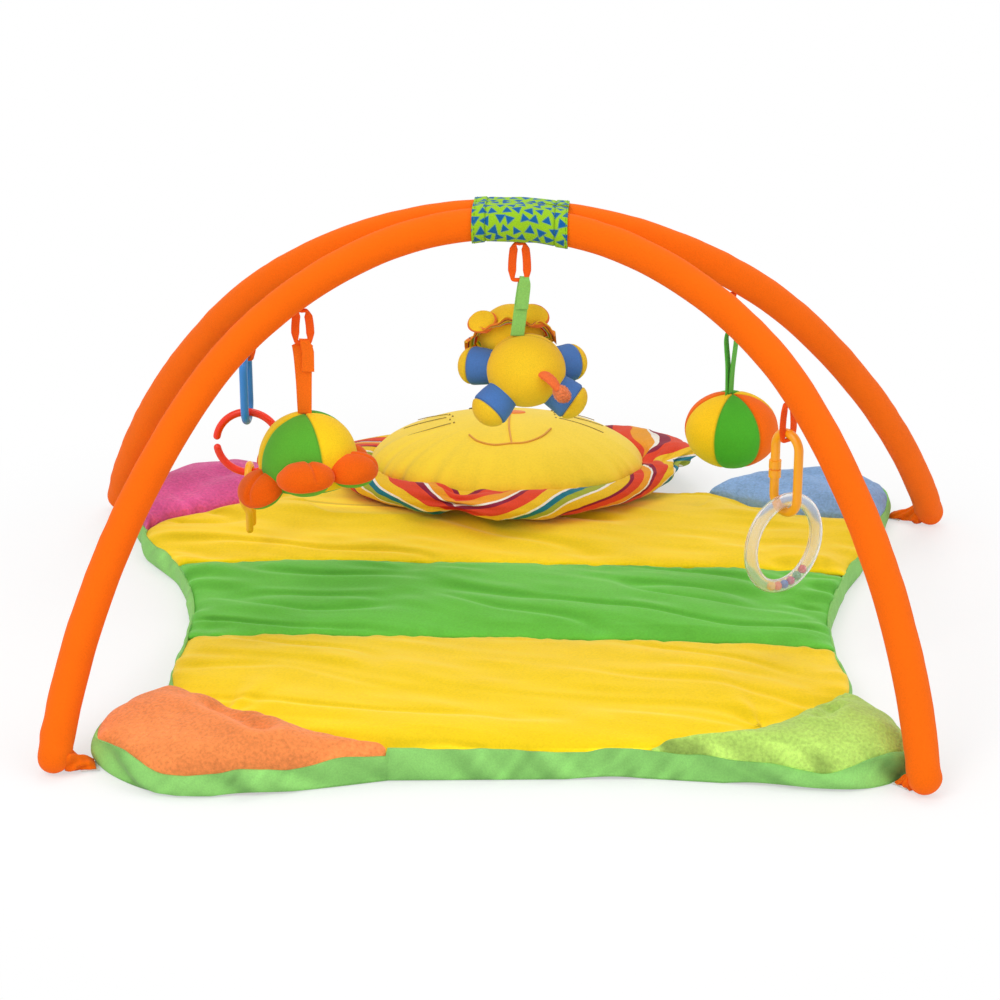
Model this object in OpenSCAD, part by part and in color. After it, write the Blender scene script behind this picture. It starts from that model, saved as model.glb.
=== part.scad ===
// Activity play gym: padded animal mat, two padded arches and five hanging toys.
// Millimetres, +Z up, -Y is the front. The origin is on the floor below the apex of the arches.

/* [Arches] */
// Distance between the two feet of the front arch
front_span = 820; // [760:5:880]
// Distance between the two feet of the back arch
back_span = 970; // [910:5:1030]
// Distance of the front feet from the apex, along Y
front_reach = 386; // [350:1:420]
// Distance of the back feet from the apex, along Y
back_reach = 312; // [280:1:345]
// Height of the sleeve axis where the arches meet
apex_h = 447; // [410:1:490]
// Outside diameter of the padded sleeve
sleeve_d = 33.6; // [30:0.2:38]
// Thickness of the sleeve fabric
sleeve_t = 1.5; // [1:0.1:2]
// Outside diameter of the plastic pole
pole_d = 10; // [9:0.5:12]
// Bore of the plastic pole
pole_bore = 6.6; // [5:0.2:7]
// Length of the spigot that joins the pole halves
joiner_l = 90; // [60:5:120]
// Distance from each foot to the end of pole and foam
pole_inset = 14; // [10:1:20]
// Bend radius of the front arch at its crown
front_crown_r = 298; // [280:1:320]
// Bend radius of the front arch at its shoulders
front_shoulder_r = 399; // [380:1:420]
// Bend radius of the back arch at its crown
back_crown_r = 335; // [315:1:350]
// Bend radius of the back arch at its shoulders
back_shoulder_r = 460; // [440:1:480]

/* [Apex wrap] */
// Length of the wrap along the arches
wrap_l = 98; // [80:1:120]
// Thickness of the wrap
wrap_t = 1.8; // [1.2:0.1:3]
// Place of the wrap's middle, along X
wrap_x = 14; // [0:1:25]

/* [Mat] */
// Thickness of the backing sheet
backing_t = 3; // [2:0.5:4]
// Height of the top panels along the mat's edge
edge_h = 29; // [24:1:36]
// Rise of the seams above the edge, in the middle of the mat
seam_rise = 6; // [3:1:9]
// Swell of each panel above its seams
panel_crown = 7; // [4:1:10]
// Swell of each paw
paw_crown = 20; // [14:1:24]
// Thickness of the quilted panels
panel_t = 4; // [3:0.5:6]
// Thickness of the side border
border_t = 2; // [1.5:0.1:3]
// Width of the webbing tabs at the corners
tab_w = 18; // [14:1:24]
// Thickness of the webbing tabs and the sleeve tails
tab_t = 1.8; // [1.2:0.1:2.4]

/* [Head] */
// Radius of the head pillow
head_r = 166; // [155:1:172]
// Thickness of the head pillow
head_t = 82; // [70:1:92]
// Backward tilt of the head, resting on mat and floor
head_tilt = 6.3; // [5.8:0.1:6.8]
// Mean width of the mane
mane_w = 56; // [48:1:62]
// Thickness of the mane
mane_t = 26; // [20:1:32]

/* [Hangers] */
// Place of the turtle on the front arch, along X
turtle_x = -214; // [-230:1:-190]
// Place of the rattle on the front arch, along X
rattle_x = 296; // [270:1:310]
// Place of the link chain on the back arch, along X
chain_x = -303; // [-320:1:-280]
// Place of the ball on the back arch, along X
ball_x = 244; // [220:1:260]
// Length of the turtle's loop
turtle_loop_l = 33; // [28:1:45]
// Length of the rattle's loop
rattle_loop_l = 37; // [34:1:45]
// Length of the chain's loop
chain_loop_l = 42; // [36:1:50]
// Length of the ball's loop
ball_loop_l = 34; // [28:1:45]
// Length of the lion's loop
lion_loop_l = 38; // [28:1:45]
// Radius of the gathered bar at the bottom of a loop
bar_r = 2; // [1.5:0.1:2.5]
// Width of a strap
strap_w = 16; // [14:1:20]
// Thickness of a strap
strap_t = 1.6; // [1.2:0.1:2]

/* [Turtle] */
// Length of the turtle's strap below its loop
turtle_strap_l = 73; // [60:1:90]
// Radius of the turtle's shell
shell_r = 51; // [46:1:56]
// Tilt of the hanging turtle
turtle_tilt = 9; // [0:1:12]
// Half width of a flipper
flipper_r = 29; // [24:1:31]
// Half thickness of a flipper
flipper_t = 17; // [13:1:19]

/* [Ball] */
// Length of the ball's strap below its loop
ball_strap_l = 72; // [60:1:90]
// Radius of the ball around its middle
ball_r = 50; // [44:1:55]
// Half height of the ball
ball_h = 41; // [36:1:46]

/* [Lion] */
// Length of the lion's strap below its loop
lion_strap_l = 51; // [44:1:60]
// Radius of the lion's body
lion_r = 42; // [38:1:46]
// Radius of the lion's head
lion_head_r = 35; // [31:1:37]
// Reach of a leg from the middle of the body
lion_leg_reach = 74; // [70:1:78]
// Widest radius of a leg
lion_leg_r = 20; // [17:1:21]

/* [Chain] */
// Length of the blue link
blue_l = 86; // [80:1:92]
// Width of the blue link
blue_w = 44; // [40:1:48]
// Bar radius of the blue link
blue_bar_r = 4.5; // [4:0.1:4.8]
// Outside diameter of the red ring
red_d = 79; // [72:1:86]
// Bar radius of the red ring
red_bar_r = 4.2; // [3.8:0.1:4.6]
// Opening of the red ring, in degrees
red_gap = 22; // [19:1:28]
// Bar radius of the yellow link
yellow_bar_r = 4; // [3.5:0.1:4.5]
// Spread of the yellow link's prongs
yellow_w = 30; // [26:1:34]
// Bend radius of the waves in the yellow link
wave_r = 20; // [17:1:23]
// Height of the yellow hook's tips above the crown of the mat
chain_clear = 18.5; // [12:0.5:25]

/* [Rattle] */
// Turn of the hanging rattle about the vertical
rattle_turn = 42; // [35:1:50]
// Length of the clasp link
clasp_l = 93; // [86:1:100]
// Width of the clasp link
clasp_w = 42; // [40:1:46]
// Bar radius of the clasp link
clasp_bar_r = 4.7; // [4.2:0.1:4.8]
// Outside diameter of the clear ring
ring_d = 106; // [98:1:114]
// Radius of the clear ring's tube
ring_tube_r = 7; // [6.5:0.1:7.5]
// Wall of the clear ring
ring_wall = 1.3; // [1:0.1:1.5]
// Radius of a bead
bead_r = 4.6; // [4:0.1:4.8]

/* [Hidden] */
$fn = 48;

// Clearance between pieces that don't press on each other
fit = 0.3;
// Half of the hairline where two lengths of a sleeve or bar meet end to end
seam = 0.02;
orange = "#f7791a";
yellow = "#ffd21e";
green = "#55b843";
lime = "#86cf4c";
magenta = "#c9479b";
blue = "#4f86cf";

// Curves through a few points
function mix(a, b, t) = a + (b - a) * t;
function unit(v) = v / norm(v);
function spline(a, b, c, d, t) =
    0.5 * (2 * b + (c - a) * t + (2 * a - 5 * b + 4 * c - d) * t * t + (3 * b - a - 3 * c + d) * t * t * t);
function along(pts, t) =
    let (n = len(pts) - 1, i = max(0, min(n - 1, floor(t * n))))
    spline(pts[max(0, i - 1)], pts[i], pts[i + 1], pts[min(n, i + 2)], t * n - i);

// A quilted solid over rows of points, each row between a left and a right point.
// top(row, column) and low(row, column) give its heights, in shares from 0 to 1.
module quilt(left, right, cols, top, low) {
    rows = len(left) - 1;
    flat = [for (i = [0 : rows]) for (j = [0 : cols]) mix(left[i], right[i], j / cols)];
    count = len(flat);
    upper = [for (i = [0 : rows]) for (j = [0 : cols])
        let (p = flat[i * (cols + 1) + j]) [p.x, p.y, top(i / rows, j / cols, p)]];
    lower = [for (i = [0 : rows]) for (j = [0 : cols])
        let (p = flat[i * (cols + 1) + j]) [p.x, p.y, low(i / rows, j / cols, p)]];
    rim = concat([for (j = [0 : cols]) j], [for (i = [1 : rows]) i * (cols + 1) + cols],
        [for (j = [1 : cols]) rows * (cols + 1) + cols - j], [for (i = [1 : rows - 1]) (rows - i) * (cols + 1)]);
    sheet = [for (i = [0 : rows - 1]) for (j = [0 : cols - 1])
        let (a = i * (cols + 1) + j, b = a + cols + 1) each [[a, b, a + 1], [a + 1, b, b + 1]]];
    under = [for (f = sheet) [f[2] + count, f[1] + count, f[0] + count]];
    sides = [for (k = [0 : len(rim) - 1])
        let (a = rim[k], b = rim[(k + 1) % len(rim)])
        each [[a, b, a + count], [b, b + count, a + count]]];
    polyhedron(concat(upper, lower), concat(sheet, under, sides), convexity = 6);
}

// A closed ring of sections around the Z axis: section(turn) is a list of [radius, height]
module ruffle(turns, section) {
    loops = [for (i = [0 : turns - 1]) let (a = 360 * i / turns)
        [for (p = section(a)) [p[0] * cos(a), p[0] * sin(a), p[1]]]];
    sides = len(loops[0]);
    faces = [for (i = [0 : turns - 1]) for (j = [0 : sides - 1])
        let (k = (i + 1) % turns, m = (j + 1) % sides)
        each [[i * sides + j, i * sides + m, k * sides + j], [k * sides + j, i * sides + m, k * sides + m]]];
    polyhedron([for (l = loops) each l], faces, convexity = 6);
}

// An egg or lens form of revolution with half width a and half height b
module pebble(a, b) {
    steps = 16;
    rotate_extrude()
        polygon([for (i = [0 : steps]) let (t = -90 + 180 * i / steps) [max(0, a * cos(t)), b * sin(t)]]);
}

// A torus segment in the XY plane between two angles, a hair short at each end
module bend(radius, from, to, short = 0) {
    less = short / radius * 180 / PI;
    rotate([0, 0, from + less])
        rotate_extrude(angle = to - from - 2 * less)
            translate([radius, 0])
                children();
}

// A half ball with its flat side at the origin, bulging along Z
module cap(r) {
    rotate_extrude()
        intersection() {
            circle(r);
            square(r);
        }
}

// Arches: each is three tangent arcs a side in a leaning plane
sleeve_r = sleeve_d / 2;
wrap_in_r = sleeve_r + fit;
apex_off = sleeve_r + fit;
FRONT = 0;
BACK = 1;
half_span = [front_span / 2, back_span / 2];
reach = [front_reach, back_reach];
side = [-1, 1];
arc_r1 = [front_crown_r, back_crown_r];
arc_r2 = [front_shoulder_r, back_shoulder_r];
crown_a = [27, 25];
shoulder_a = [62, 54];
lean = [for (k = [0, 1]) atan2(reach[k] - apex_off, apex_h - sleeve_r)];
rise = [for (k = [0, 1]) norm([reach[k] - apex_off, apex_h - sleeve_r])];
x1 = [for (k = [0, 1]) arc_r1[k] * sin(crown_a[k])];
drop1 = [for (k = [0, 1]) arc_r1[k] * (1 - cos(crown_a[k]))];
x2 = [for (k = [0, 1]) x1[k] + arc_r2[k] * (sin(shoulder_a[k]) - sin(crown_a[k]))];
drop2 = [for (k = [0, 1]) drop1[k] + arc_r2[k] * (cos(crown_a[k]) - cos(shoulder_a[k]))];
foot_a = [for (k = [0, 1]) 2 * atan2(rise[k] - drop2[k], half_span[k] - x2[k]) - shoulder_a[k]];
arc_r3 = [for (k = [0, 1]) (half_span[k] - x2[k]) / (sin(foot_a[k]) - sin(shoulder_a[k]))];

// Tangent angle and drop of an arch at a distance x from its middle
function arch_a(k, x) =
    x < x1[k] ? asin(x / arc_r1[k])
    : x < x2[k] ? asin(sin(crown_a[k]) + (x - x1[k]) / arc_r2[k])
    : asin(sin(shoulder_a[k]) + (x - x2[k]) / arc_r3[k]);
function arch_drop(k, x) =
    x < x1[k] ? arc_r1[k] * (1 - cos(arch_a(k, x)))
    : x < x2[k] ? drop1[k] + arc_r2[k] * (cos(crown_a[k]) - cos(arch_a(k, x)))
    : drop2[k] + arc_r3[k] * (cos(shoulder_a[k]) - cos(arch_a(k, x)));
function plane_up(k) = [0, -side[k] * sin(lean[k]), cos(lean[k])];
function foot(k, s) = [s * half_span[k], side[k] * reach[k], sleeve_r];
function arch_point(k, x) =
    [x, side[k] * reach[k], sleeve_r] + (rise[k] - arch_drop(k, abs(x))) * plane_up(k);
function arch_tangent(k, x) =
    cos(arch_a(k, abs(x))) * [1, 0, 0] - sign(x) * sin(arch_a(k, abs(x))) * plane_up(k);
// The point that lies a distance below the sleeve's axis, square to the sleeve
function below(k, x, d) =
    let (t = arch_tangent(k, x), down = unit([0, 0, -1] + t[2] * t))
    arch_point(k, x) + d * down;

module in_arch_plane(k) {
    translate([0, side[k] * reach[k], sleeve_r])
        rotate([90 + side[k] * lean[k], 0, 0])
            children();
}

// One leg of an arch: its shoulder and its foot, ending inset short of the foot
module arch_leg(k, inset) {
    last = foot_a[k] - inset / arc_r3[k] * 180 / PI;
    translate([x1[k] - arc_r2[k] * sin(crown_a[k]), rise[k] - drop1[k] - arc_r2[k] * cos(crown_a[k]), 0])
        bend(arc_r2[k], 90 - shoulder_a[k], 90 - crown_a[k], seam) children();
    translate([x2[k] - arc_r3[k] * sin(shoulder_a[k]), rise[k] - drop2[k] - arc_r3[k] * cos(shoulder_a[k]), 0])
        bend(arc_r3[k], 90 - last, 90 - shoulder_a[k], seam) children();
}

module arch_crown(k, from, to) {
    translate([0, rise[k] - arc_r1[k], 0])
        bend(arc_r1[k], 90 - to, 90 - from, seam) children();
}

module whole_arch(k, inset) {
    arch_crown(k, -crown_a[k], crown_a[k]) children();
    arch_leg(k, inset) children();
    mirror([1, 0, 0]) arch_leg(k, inset) children();
}

module annulus(outer, inner) {
    difference() {
        circle(outer);
        circle(inner);
    }
}

module poles(k) {
    split = 0.1;
    color("white") in_arch_plane(k) {
        for (m = [0, 1])
            mirror([m, 0, 0]) {
                arch_crown(k, split, crown_a[k]) annulus(pole_d / 2, pole_bore / 2);
                arch_leg(k, pole_inset) annulus(pole_d / 2, pole_bore / 2);
            }
    }
}

module pole_joiner(k) {
    half = joiner_l / 2 / arc_r1[k] * 180 / PI;
    color("silver") in_arch_plane(k)
        translate([0, rise[k] - arc_r1[k], 0])
            bend(arc_r1[k], 90 - half, 90 + half) circle(pole_bore / 2 - fit / 2);
}

module foam(k) {
    color("ivory") in_arch_plane(k)
        whole_arch(k, pole_inset) annulus(sleeve_r - sleeve_t - fit, pole_d / 2 + fit);
}

module sleeve_end(k) {
    translate([half_span[k], 0, 0])
        rotate([0, 0, -foot_a[k]])
            rotate([0, 90, 0])
                translate([0, 0, seam])
                    cap(sleeve_r);
}

module sleeve(k) {
    color(orange) in_arch_plane(k) {
        whole_arch(k, 0) annulus(sleeve_r, sleeve_r - sleeve_t);
        sleeve_end(k);
        mirror([1, 0, 0]) sleeve_end(k);
    }
}

// Half of the wrap: round over its own sleeve, flat lips towards the other sleeve
module wrap(k) {
    lip = apex_off - fit / 2;
    middle = asin(wrap_x / arc_r1[k]);
    half = wrap_l / 2 / arc_r1[k] * 180 / PI;
    color(lime) in_arch_plane(k)
        translate([0, rise[k] - arc_r1[k], 0])
            bend(arc_r1[k], 90 - middle - half, 90 - middle + half)
                rotate(side[k] * (90 - lean[k]))
                    difference() {
                        union() {
                            circle(wrap_in_r + wrap_t);
                            translate([0, -wrap_in_r - wrap_t])
                                square([lip, 2 * (wrap_in_r + wrap_t)]);
                        }
                        circle(wrap_in_r);
                        translate([0, -wrap_in_r])
                            square([2 * lip, 2 * wrap_in_r]);
                        translate([lip, -sleeve_d])
                            square(2 * sleeve_d);
                    }
}

// Outline of the mat: seams and sides from front to back, then the outer edge of each paw
left_edge = [[-92, -386], [-190, -345], [-314, -262], [-328, -125], [-337, -34],
    [-372, 75], [-428, 178], [-345, 248], [-258, 328]];
right_edge = [[154, -369], [255, -335], [347, -235], [344, -120], [344, -28],
    [368, 85], [408, 225], [320, 262], [222, 328]];
paw_fl_edge = [left_edge[2], [-362, -300], [-372, -366], [-300, -424], [-205, -419], left_edge[0]];
paw_fr_edge = [right_edge[2], [388, -290], [397, -348], [345, -382], [250, -376], right_edge[0]];
paw_bl_edge = [left_edge[6], [-452, 240], [-450, 325], [-395, 392], [-318, 388], left_edge[8]];
paw_br_edge = [right_edge[6], [430, 290], [434, 355], [395, 406], [300, 388], right_edge[8]];
PANEL_ROWS = 32;
BAND_FRONT = 12;
BAND_BACK = 20;
SEAM_ROWS = 8;
PANEL_COLS = 14;
EDGE_STEPS = 16;
row_gap = 0.0006;

outline = concat(
    [for (i = [0 : 5]) mix(left_edge[0], right_edge[0], i / 6)],
    [for (i = [0 : EDGE_STEPS - 1]) along(paw_fr_edge, 1 - i / EDGE_STEPS)],
    [for (i = [SEAM_ROWS : PANEL_ROWS - SEAM_ROWS - 1]) along(right_edge, i / PANEL_ROWS)],
    [for (i = [0 : EDGE_STEPS - 1]) along(paw_br_edge, i / EDGE_STEPS)],
    [for (i = [0 : 5]) mix(right_edge[8], left_edge[8], i / 6)],
    [for (i = [0 : EDGE_STEPS - 1]) along(paw_bl_edge, 1 - i / EDGE_STEPS)],
    [for (i = [SEAM_ROWS : PANEL_ROWS - SEAM_ROWS - 1]) along(left_edge, 1 - i / PANEL_ROWS)],
    [for (i = [0 : EDGE_STEPS - 1]) along(paw_fl_edge, i / EDGE_STEPS)]);
function outline_out(d) = let (n = len(outline)) [for (i = [0 : n - 1])
    let (t = unit(outline[(i + 1) % n] - outline[(i + n - 1) % n])) outline[i] + d * [t.y, -t.x]];

// The head rests on a tilted plane, which presses the mat down below it
head_at = [-21, 363];
head_low = [186, 45.5];
mane_reach = head_r + mane_w + 32;
function head_plane(y) = head_low[1] - (y - head_low[0]) * tan(head_tilt);
function pressed(p, z) = min(z, head_plane(p.y) - fit + 0.5 * max(0, norm(p - head_at) - mane_reach));
// Height of the seams over the whole mat, from share t front to back and share v left to right
function seam_h(t, v) = edge_h + seam_rise * (1 - pow(2 * v - 1, 4)) * (1 - pow(2 * t - 1, 6));

module panel(first, last) {
    step = function (i) (i == first ? i / PANEL_ROWS + row_gap : i == last ? i / PANEL_ROWS - row_gap : i / PANEL_ROWS);
    rows = [for (i = [first : last]) step(i)];
    top = function (u, v, p) pressed(p, seam_h(mix(first, last, u) / PANEL_ROWS, v)
        + panel_crown * 4 * u * (1 - u) * (1 - pow(2 * v - 1, 2)));
    quilt([for (t = rows) along(left_edge, t)], [for (t = rows) along(right_edge, t)], PANEL_COLS,
        top, function (u, v, p) top(u, v, p) - panel_t);
}

module paw(edge, seam, from, to) {
    seam_gap = 1.4;
    rows = [for (i = [1 : EDGE_STEPS - 1]) i / EDGE_STEPS];
    outer = [for (s = rows) along(edge, s)];
    inner = [for (s = rows) along(seam, mix(from, to, s) / SEAM_ROWS)];
    top = function (u, v, p) seam_h(0.1, 0.1) + (1 - v) * 3 - v * v * 3
        + paw_crown * 4 * u * (1 - u) * (1 - pow(2 * v - 1, 2));
    quilt([for (i = [0 : len(rows) - 1]) inner[i] + seam_gap * unit(outer[i] - inner[i])], outer, 6,
        top, function (u, v, p) backing_t + fit);
}

// The right-hand paws have their rows the other way round
module paw_turned(edge, seam, from, to) {
    mirror([1, 0, 0])
        paw([for (p = edge) [-p.x, p.y]], [for (p = seam) [-p.x, p.y]], from, to);
}

module mat_backing() {
    color(yellow) linear_extrude(backing_t) polygon(outline);
}

module mat_border() {
    color(lime)
        linear_extrude(edge_h - fit)
            difference() {
                polygon(outline_out(fit + border_t));
                polygon(outline_out(fit));
            }
}

module mat_filling() {
    margin = 0.02;
    rows = [for (i = [1 : 2 : PANEL_ROWS - 1]) i / PANEL_ROWS];
    left = [for (t = rows) along(left_edge, t)];
    right = [for (t = rows) along(right_edge, t)];
    top = function (u, v, p) pressed(p, seam_h(mix(rows[0], rows[len(rows) - 1], u), v)) - panel_t - fit;
    color("white")
        quilt([for (i = [0 : len(rows) - 1]) mix(left[i], right[i], margin)],
            [for (i = [0 : len(rows) - 1]) mix(right[i], left[i], margin)], 10,
            top, function (u, v, p) backing_t + fit);
}

module panel_front() {
    color(yellow) panel(0, BAND_FRONT);
}

module panel_band() {
    color(green) panel(BAND_FRONT, BAND_BACK);
}

module panel_back() {
    color(yellow) panel(BAND_BACK, PANEL_ROWS);
}

module paw_front_left() {
    color("#f4844a") paw(paw_fl_edge, left_edge, 2, 0);
}

module paw_front_right() {
    color(lime) paw_turned(paw_fr_edge, right_edge, 2, 0);
}

module paw_back_left() {
    color(magenta) mirror([0, 1, 0])
        paw([for (p = paw_bl_edge) [p.x, -p.y]], [for (p = left_edge) [p.x, -p.y]], 6, 8);
}

module paw_back_right() {
    color(blue) rotate(180)
        paw([for (p = paw_br_edge) -p], [for (p = right_edge) -p], 6, 8);
}

// Corner ties: a white tab at the mat's edge and an orange tail of the sleeve on top of it
tab_l = 20;
function corner(k, s) =
    k == FRONT ? (s < 0 ? along(paw_fl_edge, 0.42) : along(paw_fr_edge, 0.46))
    : (s < 0 ? along(paw_bl_edge, 0.34) : along(paw_br_edge, 0.34));

// Lies along the line from a corner of the mat to the foot beside it
module along_tie(k, s) {
    c = corner(k, s);
    way = [foot(k, s).x, foot(k, s).y] - c;
    translate([c.x, c.y, 0])
        rotate(atan2(way.y, way.x))
            children();
}

function tie_l(k, s) = norm([foot(k, s).x, foot(k, s).y] - corner(k, s));

module corner_tabs() {
    color("white")
        for (k = [FRONT, BACK], s = [-1, 1])
            difference() {
                along_tie(k, s) translate([0, -tab_w / 2, 0]) cube([tab_l, tab_w, tab_t]);
                translate([0, 0, -1]) linear_extrude(tab_t + 2) polygon(outline_out(2 * fit + border_t));
            }
}

// The foot end of a leg, with its clearance, where it lies once the arch is folded outwards by an angle
fold_max = [125, 120];
module folded_foot(k, s, angle) {
    axis = [0, side[k] * reach[k], sleeve_r];
    translate(axis)
        rotate([-side[k] * angle, 0, 0])
            translate(-axis)
                in_arch_plane(k)
                    mirror([s < 0 ? 1 : 0, 0, 0])
                        translate([x2[k] - arc_r3[k] * sin(shoulder_a[k]),
                            rise[k] - drop2[k] - arc_r3[k] * cos(shoulder_a[k]), 0])
                            bend(arc_r3[k], 90 - foot_a[k], 90 - shoulder_a[k]) circle(sleeve_r + 2 * fit);
}

module tails(k) {
    tail_z = tab_t + fit;
    color(orange)
        for (s = [-1, 1])
            difference() {
                along_tie(k, s)
                    translate([10, -tab_w / 2 - 1, tail_z]) cube([tie_l(k, s) - 10 - 0.6 * sleeve_r, tab_w + 2, tab_t]);
                translate([0, 0, tail_z - 1])
                    linear_extrude(tab_t + 2) polygon(outline_out(2 * fit + border_t));
                translate(foot(k, s)) sphere(sleeve_r + fit);
                for (share = [0.9, 1])
                    folded_foot(k, s, share * fold_max[k]);
            }
}

// Head: a cushion of revolution with drawn-in sides, and a ruffled mane around it
module on_head_plane() {
    translate([head_at.x, head_at.y, head_plane(head_at.y)])
        rotate([-head_tilt, 0, 0])
            children();
}

module head_pillow() {
    belly_z = 22;
    base_r = head_r - 23;
    steps = 14;
    color(yellow) on_head_plane()
        rotate_extrude()
            polygon(concat([[0, 0]],
                [for (i = [0 : steps]) let (a = -90 + 90 * i / steps)
                    [base_r + (head_r - base_r) * cos(a), belly_z + belly_z * sin(a)]],
                [for (i = [1 : steps]) let (a = 90 * i / steps)
                    [max(0, head_r * cos(a)), belly_z + (head_t - belly_z) * sin(a)]]));
}

module head_mane() {
    sides = 8;
    scallops = 9;
    half_w = function (a) (mane_w + 6 * cos(a) + 14 * sin(a) + 3 * cos(scallops * a)) / 2;
    lift = function (a) mane_t / 2 + 2.1 + 2 * sin(scallops * a);
    color("#d8452e") on_head_plane()
        ruffle(60, function (a) [for (j = [0 : sides - 1]) let (b = 360 * j / sides)
            [head_r + 2 + half_w(a) + half_w(a) * cos(b), lift(a) + mane_t / 2 * sin(b)]]);
}

// Hangers: a tape loop below the sleeve, whose bottom is gathered to a round bar
nub_r = 2.2;
tape_t = 2.2;
tape_w = 4;
bar_half = 10;
nub_half = tape_t / 2 + 1;
ball_turn = 65;
// Distance from the sleeve's axis to a nub that just clears a round of radius r, however it is turned
function hang_d(k, x, turn, r) =
    let (t = arch_tangent(k, x), down = unit([0, 0, -1] + t[2] * t), lie = abs(down * [-sin(turn), cos(turn), 0]))
    r + fit + nub_r * sqrt(1 - lie * lie) + nub_half * lie;
turtle_pivot = below(FRONT, turtle_x, hang_d(FRONT, turtle_x, 0, sleeve_r));
rattle_pivot = below(FRONT, rattle_x, hang_d(FRONT, rattle_x, rattle_turn, sleeve_r));
chain_pivot = below(BACK, chain_x, hang_d(BACK, chain_x, 0, sleeve_r));
ball_pivot = below(BACK, ball_x, hang_d(BACK, ball_x, ball_turn, sleeve_r));
lion_pivot = below(FRONT, wrap_x, hang_d(FRONT, wrap_x, 0, wrap_in_r + wrap_t));
turtle_bar = turtle_pivot - [0, 0, turtle_loop_l];
rattle_bar = rattle_pivot - [0, 0, rattle_loop_l];
chain_bar = chain_pivot - [0, 0, chain_loop_l];
ball_bar = ball_pivot - [0, 0, ball_loop_l];
lion_bar = lion_pivot - [0, 0, lion_loop_l];

module at(point, turn) {
    translate(point) rotate(turn) children();
}

module loop(length) {
    color("#f2571f") {
        rotate([90, 0, 0]) cylinder(h = 2 * nub_half, r = nub_r, center = true);
        for (s = [0, 1])
            mirror([s, 0, 0])
                rotate([90, 0, 0])
                    linear_extrude(tape_t, center = true)
                        polygon([[0.2, 0], [nub_r, 0], [bar_half + tape_w / 2, -length],
                            [bar_half - tape_w / 2, -length]]);
        translate([0, 0, -length]) {
            rotate([0, 90, 0]) cylinder(h = 2 * bar_half + tape_w + 1, r = bar_r, center = true);
        }
    }
}

// A strap folded over the bar of its loop, with its fastened end in front
module strap(length, shade) {
    fold_in = bar_r + fit + 0.1;
    fold_out = fold_in + strap_t;
    flap_l = 26;
    color(shade) {
        rotate([0, 90, 0]) linear_extrude(bar_half, center = true) annulus(fold_out, fold_in);
        translate([-strap_w / 2, -strap_t / 2, -length])
            cube([strap_w, strap_t, length - fold_in - strap_t / 2]);
        translate([-strap_w / 2 + 1, -1.5 * strap_t, -fold_out - flap_l])
            cube([strap_w - 2, strap_t, flap_l]);
    }
}

// Turtle
module at_turtle() {
    at(turtle_bar, 0)
        translate([0, 0, -turtle_strap_l - fit - shell_r * (1 - cos(turtle_tilt))])
            rotate([0, -turtle_tilt, 0])
                translate([0, 0, -shell_r])
                    children();
}

shell_cut = 20;
belly_t = 8;

module turtle_shell() {
    color(green) at_turtle()
        difference() {
            sphere(shell_r);
            translate([0, 0, -shell_r - shell_cut]) cube(2 * shell_r, center = true);
        }
}

module turtle_belly() {
    rim = sqrt(shell_r * shell_r - shell_cut * shell_cut) - 1;
    color(lime) at_turtle()
        translate([0, 0, -shell_cut - fit])
            difference() {
                pebble(rim, belly_t);
                translate([0, 0, rim]) cube(2 * rim, center = true);
            }
}

module limb_cut() {
    difference() {
        children();
        sphere(shell_r + fit);
        translate([0, 0, -shell_cut]) cylinder(h = 2 * belly_t + 4, r = 30, center = true);
    }
}

// Flippers and head sit round the rim, counted from the front
module turtle_limb(turn, drop) {
    color(orange) at_turtle()
        limb_cut()
            rotate(turn)
                translate([0, -shell_r - 2, -shell_cut - drop])
                    children();
}

module flipper(turn, drop) {
    turtle_limb(turn, drop) rotate([18, 0, 0]) pebble(flipper_r, flipper_t);
}

module turtle_head() {
    turtle_limb(144, 2) translate([0, -6, 0]) sphere(flipper_r * 0.8);
}

// Ball
module ball() {
    color(yellow) at(ball_bar, ball_turn)
        translate([0, 0, -ball_strap_l - fit - ball_h]) pebble(ball_r, ball_h);
}

// Lion, seen from behind: its head is up and away, its tail is towards the front
lion_head_at = [-17, 46, 27];
lion_face = unit([-0.1, 0.8, 0.6]);
leg_ways = [unit([-0.93, 0.30, -0.05]), unit([0.8, 0.59, -0.05]), unit([-0.61, -0.5, -0.61]), unit([0.83, -0.15, -0.54])];
tail_way = unit([0.40, -0.9, 0.1]);
tail_bend = unit([21, -15, -22]);
tail_l = 26;
tail_r = 5.5;
tuft_r = 8;

module at_lion() {
    at(lion_bar, 0)
        translate([4, 0, -lion_strap_l - fit - lion_r])
            children();
}

// Turns the Z axis to a direction
module towards(v) {
    rotate([0, acos(v.z), atan2(v.y, v.x)]) children();
}

module lion_head_ball(grow) {
    translate(lion_head_at) sphere(lion_head_r + grow, $fn = 96);
}

module lion_mane_ring(grow) {
    translate(lion_head_at)
        towards(lion_face)
            rotate_extrude()
                translate([lion_head_r + 6, 0])
                    square([20 + 2 * grow, 9 + 2 * grow], center = true);
}

module lion_body() {
    color(yellow) at_lion() sphere(lion_r);
}

// The head is turned about the line to the body, so that it sits in a hollow on it
module lion_head() {
    color(yellow) at_lion()
        towards(unit(lion_head_at))
            rotate_extrude()
                intersection() {
                    difference() {
                        translate([0, norm(lion_head_at)]) circle(lion_head_r);
                        circle(lion_r + fit);
                    }
                    square(2 * (lion_r + lion_head_r));
                }
}

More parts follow.
